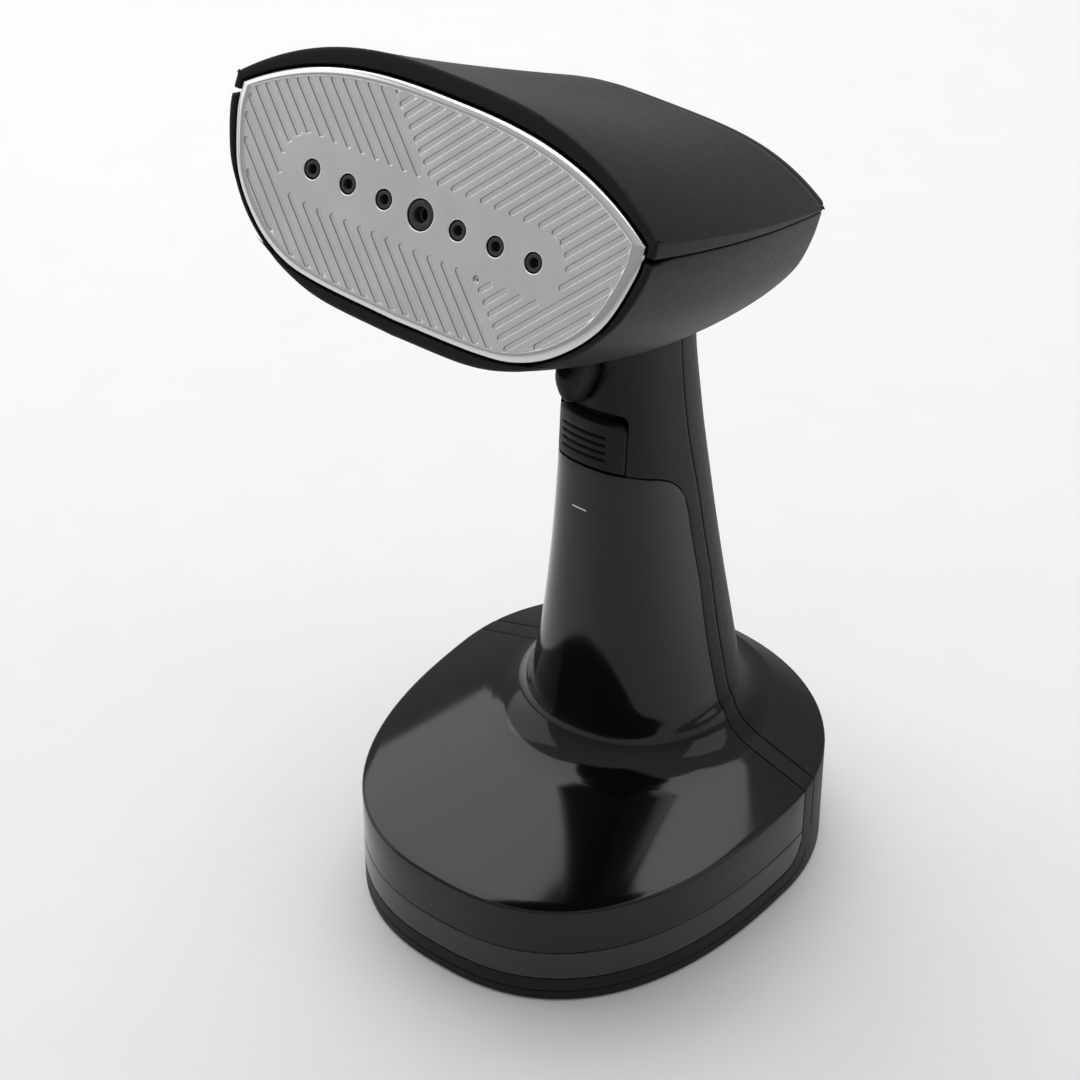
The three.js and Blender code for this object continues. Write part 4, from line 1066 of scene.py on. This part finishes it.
def grooves():
    """Centre lines of the pressed grooves: two leaning fields, left and right, round a plain band."""
    limit = whole_outline(plate_form(3.0), 60)
    found = []

    def add(origin, direction, border=None):
        """Keeps each unbroken run of the line that lies inside the limit and beyond the border."""
        line = np.array(origin) + np.array(direction) * np.linspace(-GROOVE_SPAN, GROOVE_SPAN, 1241)[:, None]
        kept = outside_band(line) & inside_outline(limit, line)
        if border:
            kept &= line.sum(1) >= np.where(line[:, 1] > 0, *border)
        run = []
        for p, keep in list(zip(line, kept)) + [(None, False)]:
            if keep:
                run.append(tuple(p))
            elif run:
                found.append((run[0], run[-1]))
                run = []

    h = math.sqrt(0.5)
    for k in range(16):
        c = 5.75 - GROOVE_PITCH * k
        add((c / 2, c / 2), (h, -h))
    for j in range(23):
        d = 37.3 - GROOVE_PITCH * j
        add((-d / 2, d / 2), (h, h), (FIELD_BORDER_ABOVE, FIELD_BORDER_BELOW))
    found += [(dimple, dimple) for dimple in DIMPLES]
    return [pair for pair in found if pair[0][1] < GROOVE_TOP]


def capsule(a, b, radius, around=7):
    """Outline of a groove: a straight slot with round ends."""
    a, b = np.array(a), np.array(b)
    along = b - a
    length = np.linalg.norm(along)
    along = along / length if length > 1e-6 else np.array([1.0, 0.0])
    across = np.array([-along[1], along[0]])
    points = []
    for end, first in ((a, math.pi / 2), (b, -math.pi / 2)):
        for i in range(around):
            turn = first + math.pi * i / (around - 1)
            points.append(end + radius * (math.cos(turn) * along + math.sin(turn) * across))
    return points


def circle(u, radius):
    """Outline of a round hole on the plate's middle line."""
    turns = np.linspace(0, 2 * math.pi, HOLE_SIDES + 1)[:-1]
    return [(u + radius * math.cos(t), radius * math.sin(t)) for t in turns]


def filled(loops, owners, new_point):
    """Triangles between the first loop and the others, in the vertex numbers of the owners."""
    flat = [Vector(tuple(p)) for loop in loops for p in loop]
    edges = []
    for loop in loops:
        start = len(edges)
        edges += [(start + i, start + (i + 1) % len(loop)) for i in range(len(loop))]
    verts, _, triangles, sources, _, _ = delaunay_2d_cdt(flat, edges, [], 0, 1e-5)
    numbers = [owners[source[0]] if source else new_point(p) for p, source in zip(verts, sources)]
    centres = np.array([sum((verts[i] for i in t), Vector((0.0, 0.0))) / 3.0 for t in triangles])
    keep = inside_outline(np.array(loops[0]), centres)
    for hole in loops[1:]:
        keep &= ~inside_outline(np.array(hole), centres)
    return [tuple(numbers[i] for i in t) for t, wanted in zip(triangles, keep) if wanted]


def build_plate():
    """Plate with a raised polished rim, pressed grooves and countersunk holes."""
    points, faces, finish = [], [], {}

    def add_point(p, back):
        points.append(tuple(on_head(p[0], p[1], back)))
        return len(points) - 1

    def add_ring(outline, back):
        return [add_point(p, back) for p in outline]

    def bridge(a, b, coat=0):
        for i in range(len(a)):
            j = (i + 1) % len(a)
            finish[len(faces)] = coat
            faces.append((a[i], a[j], b[j], b[i]))

    def on_face(v):
        """The flat coordinates of a vertex on the plate's face."""
        p = np.array(points[v]) - on_head(0, 0, face_back)
        return p[0], p[1] * math.sin(TILT) + p[2] * math.cos(TILT)

    rings = [add_ring(whole_outline(plate_form(shrink), PLATE_STEPS), back) for shrink, back in RIM_PROFILE]
    for k, (a, b) in enumerate(zip(rings, rings[1:])):
        bridge(a, b, 1 if k > 0 else 0)
    under_back, face_back = RIM_PROFILE[0][1], RIM_PROFILE[-1][1]
    loops, openings = [rings[-1]], []
    for u, radius in HOLES:
        loops.append(add_ring(circle(u, radius + HOLE_MOUTH), face_back))
        previous = loops[-1]
        for grow, back in HOLE_PROFILE:
            ring = add_ring(circle(u, radius + grow), back)
            bridge(previous, ring)
            previous = ring
        openings.append(previous)
    for a, b in grooves():
        half = GROOVE_HALF * (DIMPLE_SCALE if a == b else 1.0)
        loops.append(add_ring(capsule(a, b, half), face_back))
        previous = loops[-1]
        for share, depth, coat in GROOVE_PROFILE:
            ring = add_ring(capsule(a, b, half * share), face_back + GROOVE_DEPTH * depth)
            bridge(previous, ring, coat)
            previous = ring
        faces.append(tuple(previous))
    # the flat face between the rim, the holes and the grooves
    faces += filled([[on_face(v) for v in loop] for loop in loops], sum(loops, []),
                    lambda p: add_point(p, face_back))
    # the underside
    under = [whole_outline(plate_form(RIM_PROFILE[0][0]), PLATE_STEPS)]
    under += [circle(u, radius + HOLE_PROFILE[-1][0]) for u, radius in HOLES]
    faces += filled(under, sum(openings, list(rings[0])), lambda p: add_point(p, under_back))
    return points, faces, finish


def plate_piece():
    points, faces, finish = build_plate()
    mesh = bpy.data.meshes.new("plate")
    mesh.from_pydata([tuple(p) for p in metres(points)], [], faces)
    # the third material darkens the groove walls with painted shade
    for name in ("steam_plate", "polished_rim", "groove_wall_painted_shade"):
        mesh.materials.append(MATERIALS[name])
    for number, coat in finish.items():
        mesh.polygons[number].material_index = coat
    build = bmesh.new()
    build.from_mesh(mesh)
    bmesh.ops.recalc_face_normals(build, faces=build.faces)
    build.to_mesh(mesh)
    build.free()
    mesh.shade_smooth()
    mesh.set_sharp_from_angle(angle=math.radians(PLATE_SHARP))
    piece = bpy.data.objects.new("plate", mesh)
    bpy.context.scene.collection.objects.link(piece)
    weight = piece.modifiers.new("weight", "WEIGHTED_NORMAL")
    weight.mode = "FACE_AREA"
    weight.keep_sharp = True
    piece["wanted_body"] = "housing"
    piece["wanted_slot"] = "steam_plate"
    return applied(piece)


settle(plate_piece(), "steam_plate")

NOZZLE_END = 9.0
PLATE_AXIS = (0.0, math.cos(TILT), -math.sin(TILT))


def build_nozzle(number):
    """Dark insert in a steam hole: a rounded ring with a stepped bore."""
    u, radius = HOLES[number]
    bore = radius * 0.55
    narrow = bore * 0.82
    profile = [(bore, NOZZLE_END), (radius, NOZZLE_END), (radius, 1.0), (radius - 0.08, 0.72), (radius - 0.25, 0.55),
               (radius - 0.45, 0.5), (bore + 0.3, 0.5), (bore + 0.1, 0.58), (bore, 0.85), (bore, 3.2), (narrow, 3.4),
               (narrow, NOZZLE_END)]
    rows = lathe(profile, tuple(on_head(u, 0.0, 0.0)), PLATE_AXIS)
    skin = Skin()
    skin.grid(rows + rows[:1], closed=True)
    return skin.piece(f"nozzle_ring_{number + 1}", "nozzle_insert")


for number in range(len(HOLES)):
    settle(build_nozzle(number), f"nozzle_{number + 1}")


# ------------------------------------------------------------------ latch
def latch_edge(y):
    return TANK_TOP_Z + GAP + LATCH_HEIGHT - SLOPE * y


GRIP_ROWS = 4
GRIP_HALF = 6.7
GRIP_TAPER = 0.9
GRIP_FIRST, GRIP_SPACING = 0.224, 0.165
# step from the groove's middle as a share of the latch's height, and depth
GRIP_PROFILE = [(-0.036, 0.0), (-0.028, 0.16), (-0.014, 0.62), (0.0, 0.72), (0.014, 0.62), (0.028, 0.16), (0.036, 0.0)]
LATCH_CORNER = 2.2
LATCH_RANGE = (125.0, 190.0)
LATCH_THICKNESS = 3.0


def build_latch():
    """Curved button with a rounded top corner and four grip grooves."""
    skin = Skin()
    half = LATCH_HALF - GAP
    across = np.concatenate([np.linspace(0.0, GRIP_HALF, 9), [GRIP_HALF + 0.35, GRIP_HALF + GRIP_TAPER],
                             np.linspace(9.4, half, 6)])
    corner = LATCH_CORNER
    lowest, highest = (tau_at(z) + 0.0 * across for z in LATCH_RANGE)

    def top_z(x, y):
        drop = np.maximum(0.0, x - (half - corner))
        return latch_edge(y) - corner + np.sqrt(np.maximum(0.0, corner ** 2 - drop ** 2))

    def at(height_of, inset):
        def above(tau):
            p = on_hull(tau, theta_at_x(tau, across, inset), inset)
            return p[..., 2] - height_of(across, p[..., 1])
        tau = solve(above, lowest, highest, 0.0)
        return on_hull(tau, theta_at_x(tau, across, inset), inset)

    def bottom_z(x, y):
        return TANK_TOP_Z + GAP - SLOPE * y

    grips = [(GRIP_FIRST + GRIP_SPACING * k + step, depth) for k in range(GRIP_ROWS) for step, depth in GRIP_PROFILE]
    taper = np.clip((GRIP_HALF + GRIP_TAPER - across) / GRIP_TAPER, 0.0, 1.0)
    rows = []
    for share, depth in [(0.0, 0.0), (0.07, 0.0)] + grips + [(0.84, 0.0), (0.93, 0.0), (1.0, 0.0)]:
        inset = depth * taper
        low, high = at(bottom_z, inset), at(top_z, inset)
        rows.append(low + share * (high - low))
    index = side_grid(skin, rows)
    wall = side_grid(skin, [row + np.array([0.0, LATCH_THICKNESS, 0.0]) for row in (rows[0], rows[-1])])
    for outer_row, inner_row in ((index[0], wall[0]), (index[-1], wall[1])):
        for i in range(len(outer_row) - 1):
            skin.faces.append(tuple(int(v) for v in (*outer_row[i:i + 2], *inner_row[i:i + 2][::-1])))
    for c in (0, -1):
        skin.faces.append(tuple([int(v) for v in index[:, c]] + [int(wall[1][c]), int(wall[0][c])]))
    return rounded(skin.piece("latch_face", "casing", body="latch"), 0.28, angle=50.0)


settle(build_latch(), "latch_button")


# ------------------------------------------------------------------ trigger
TRIGGER_HALF = 4.9
# height, and how far forward the lever's nose reaches
TRIGGER_FRONT = [(167.8, 3.0), (168.0, -1.6), (168.6, -4.2), (169.6, -6.0), (171.0, -7.3), (173.0, -8.2),
                 (176.0, -8.7), (179.0, -8.4), (181.4, -7.4), (182.4, -6.4), (183.4, -5.4), (184.4, -4.7),
                 (186.0, -4.2), (188.6, -4.0)]
TRIGGER_ROWS = [167.8, 168.0, 168.3, 168.7, 169.3, 170.1] + list(np.linspace(171.0, 188.6, 35))
TRIGGER_BACK_Y, TRIGGER_BACK_LEAN = 3.7, 0.115
HOLLOW_Y, HOLLOW_Z = -7.4, 183.6
HOLLOW_HALF = (3.7, 4.6, 4.7)


def build_trigger():
    """Rounded lever nose that fills the pointed slot, with a finger hollow at its top."""
    skin = Skin()
    heights, fronts = zip(*TRIGGER_FRONT)
    turn = np.linspace(0.0, math.pi / 2, 25)
    rows = []
    for z in TRIGGER_ROWS:
        front = monotone(heights, fronts, z)
        back = TRIGGER_BACK_Y + TRIGGER_BACK_LEAN * (z - heights[0])
        half = TRIGGER_HALF * min(1.0, (z - 166.6) / 10.5) ** 0.6
        x = half * np.sin(turn) ** 0.9
        y = back - (back - front) * np.cos(turn) ** 0.42
        room = 1.0 - (x / HOLLOW_HALF[0]) ** 2 - ((z - HOLLOW_Z) / HOLLOW_HALF[2]) ** 2
        hollow = HOLLOW_Y + HOLLOW_HALF[1] * np.sqrt(np.maximum(room, 0.0))
        y = np.where(room > 0, np.maximum(y, hollow), y)
        rows.append(np.stack([x, y, z + 0.0 * x], -1))
    closed_patch(skin, rows)
    return rounded(skin.piece("trigger_lever", "casing", body="trigger"), 0.3, angle=40.0)


settle(build_trigger(), "trigger")


# ------------------------------------------------------------------ level mark on the tank
MARK_Z, MARK_HALF_HEIGHT, MARK_HALF_WIDTH = 129.8, 0.22, 2.4
MARK_PROUD, MARK_DEPTH = 0.03, 0.2


def build_level_mark():
    """A short plain line that stands for the fill mark."""
    skin = Skin()
    rows = []
    for z in (MARK_Z - MARK_HALF_HEIGHT, MARK_Z + MARK_HALF_HEIGHT):
        row = []
        for x in np.linspace(-MARK_HALF_WIDTH, MARK_HALF_WIDTH, 9):
            tau = tau_at(z)
            theta = theta_at_x(tau, abs(x), -MARK_PROUD) if abs(x) > 1e-6 else -math.pi / 2
            p = on_hull(tau, np.array(theta), -MARK_PROUD)
            row.append((math.copysign(p[0], x), p[1], p[2]))
        rows.append(row)
    rows += [[(x, y + MARK_DEPTH, z) for x, y, z in row] for row in rows[::-1]]
    index = skin.grid(rows + rows[:1])
    for c in (0, -1):
        skin.faces.append(tuple(int(v) for v in index[:-1, c]))
    return skin.piece("level_tick", "level_mark", body="tank", slot="smoked_tank")


settle(build_level_mark())


# ------------------------------------------------------------------ floor and light
FLOOR_HALF = 3.0


def lay_floor():
    h = FLOOR_HALF
    mesh = bpy.data.meshes.new("floor")
    mesh.from_pydata([(-h, -h, 0), (h, -h, 0), (h, h, 0), (-h, h, 0)], [], [(0, 1, 2, 3)])
    mesh.materials.append(node_material("floor", (0.86, 0.86, 0.86), 0.6, speckle=0.01, grain=40.0, bump=0.0,
                                        specular=0.2))
    floor = bpy.data.objects.new("floor", mesh)
    bpy.context.scene.collection.objects.link(floor)


lay_floor()


def soft_light(name, location, target, size, power):
    data = bpy.data.lights.new(name, "AREA")
    data.shape = "RECTANGLE"
    data.size = data.size_y = size
    data.energy = power
    light = bpy.data.objects.new(name, data)
    light.location = location
    light.rotation_euler = (Vector(target) - Vector(location)).to_track_quat("-Z", "Y").to_euler()
    bpy.context.scene.collection.objects.link(light)


# place, target, size and power
soft_light("over", (-0.5, 0.5, 1.35), (0.0, 0.0, 0.1), 1.5, 14.0)
soft_light("left", (-1.35, -0.35, 0.75), (0.0, 0.0, 0.2), 1.3, 5.0)
soft_light("right", (1.3, 0.5, 0.9), (0.0, 0.0, 0.15), 1.0, 2.5)


WORLD_STRENGTH = 0.55


def studio_world():
    """Even pale surroundings, a little darker towards the horizon."""
    world = bpy.data.worlds.new("studio")
    world.use_nodes = True
    nodes = world.node_tree.nodes
    links = world.node_tree.links
    place = nodes.new("ShaderNodeTexCoord")
    parts = nodes.new("ShaderNodeSeparateXYZ")
    ramp = nodes.new("ShaderNodeValToRGB")
    links.new(place.outputs["Generated"], parts.inputs["Vector"])
    links.new(parts.outputs["Z"], ramp.inputs["Fac"])
    low, high = ramp.color_ramp.elements
    low.position, high.position = 0.0, 0.85
    low.color = (0.6, 0.6, 0.6, 1.0)
    high.color = (1.0, 1.0, 1.0, 1.0)
    links.new(ramp.outputs["Color"], nodes["Background"].inputs["Color"])
    nodes["Background"].inputs["Strength"].default_value = WORLD_STRENGTH
    bpy.context.scene.world = world


studio_world()

bpy.context.view_layer.update()
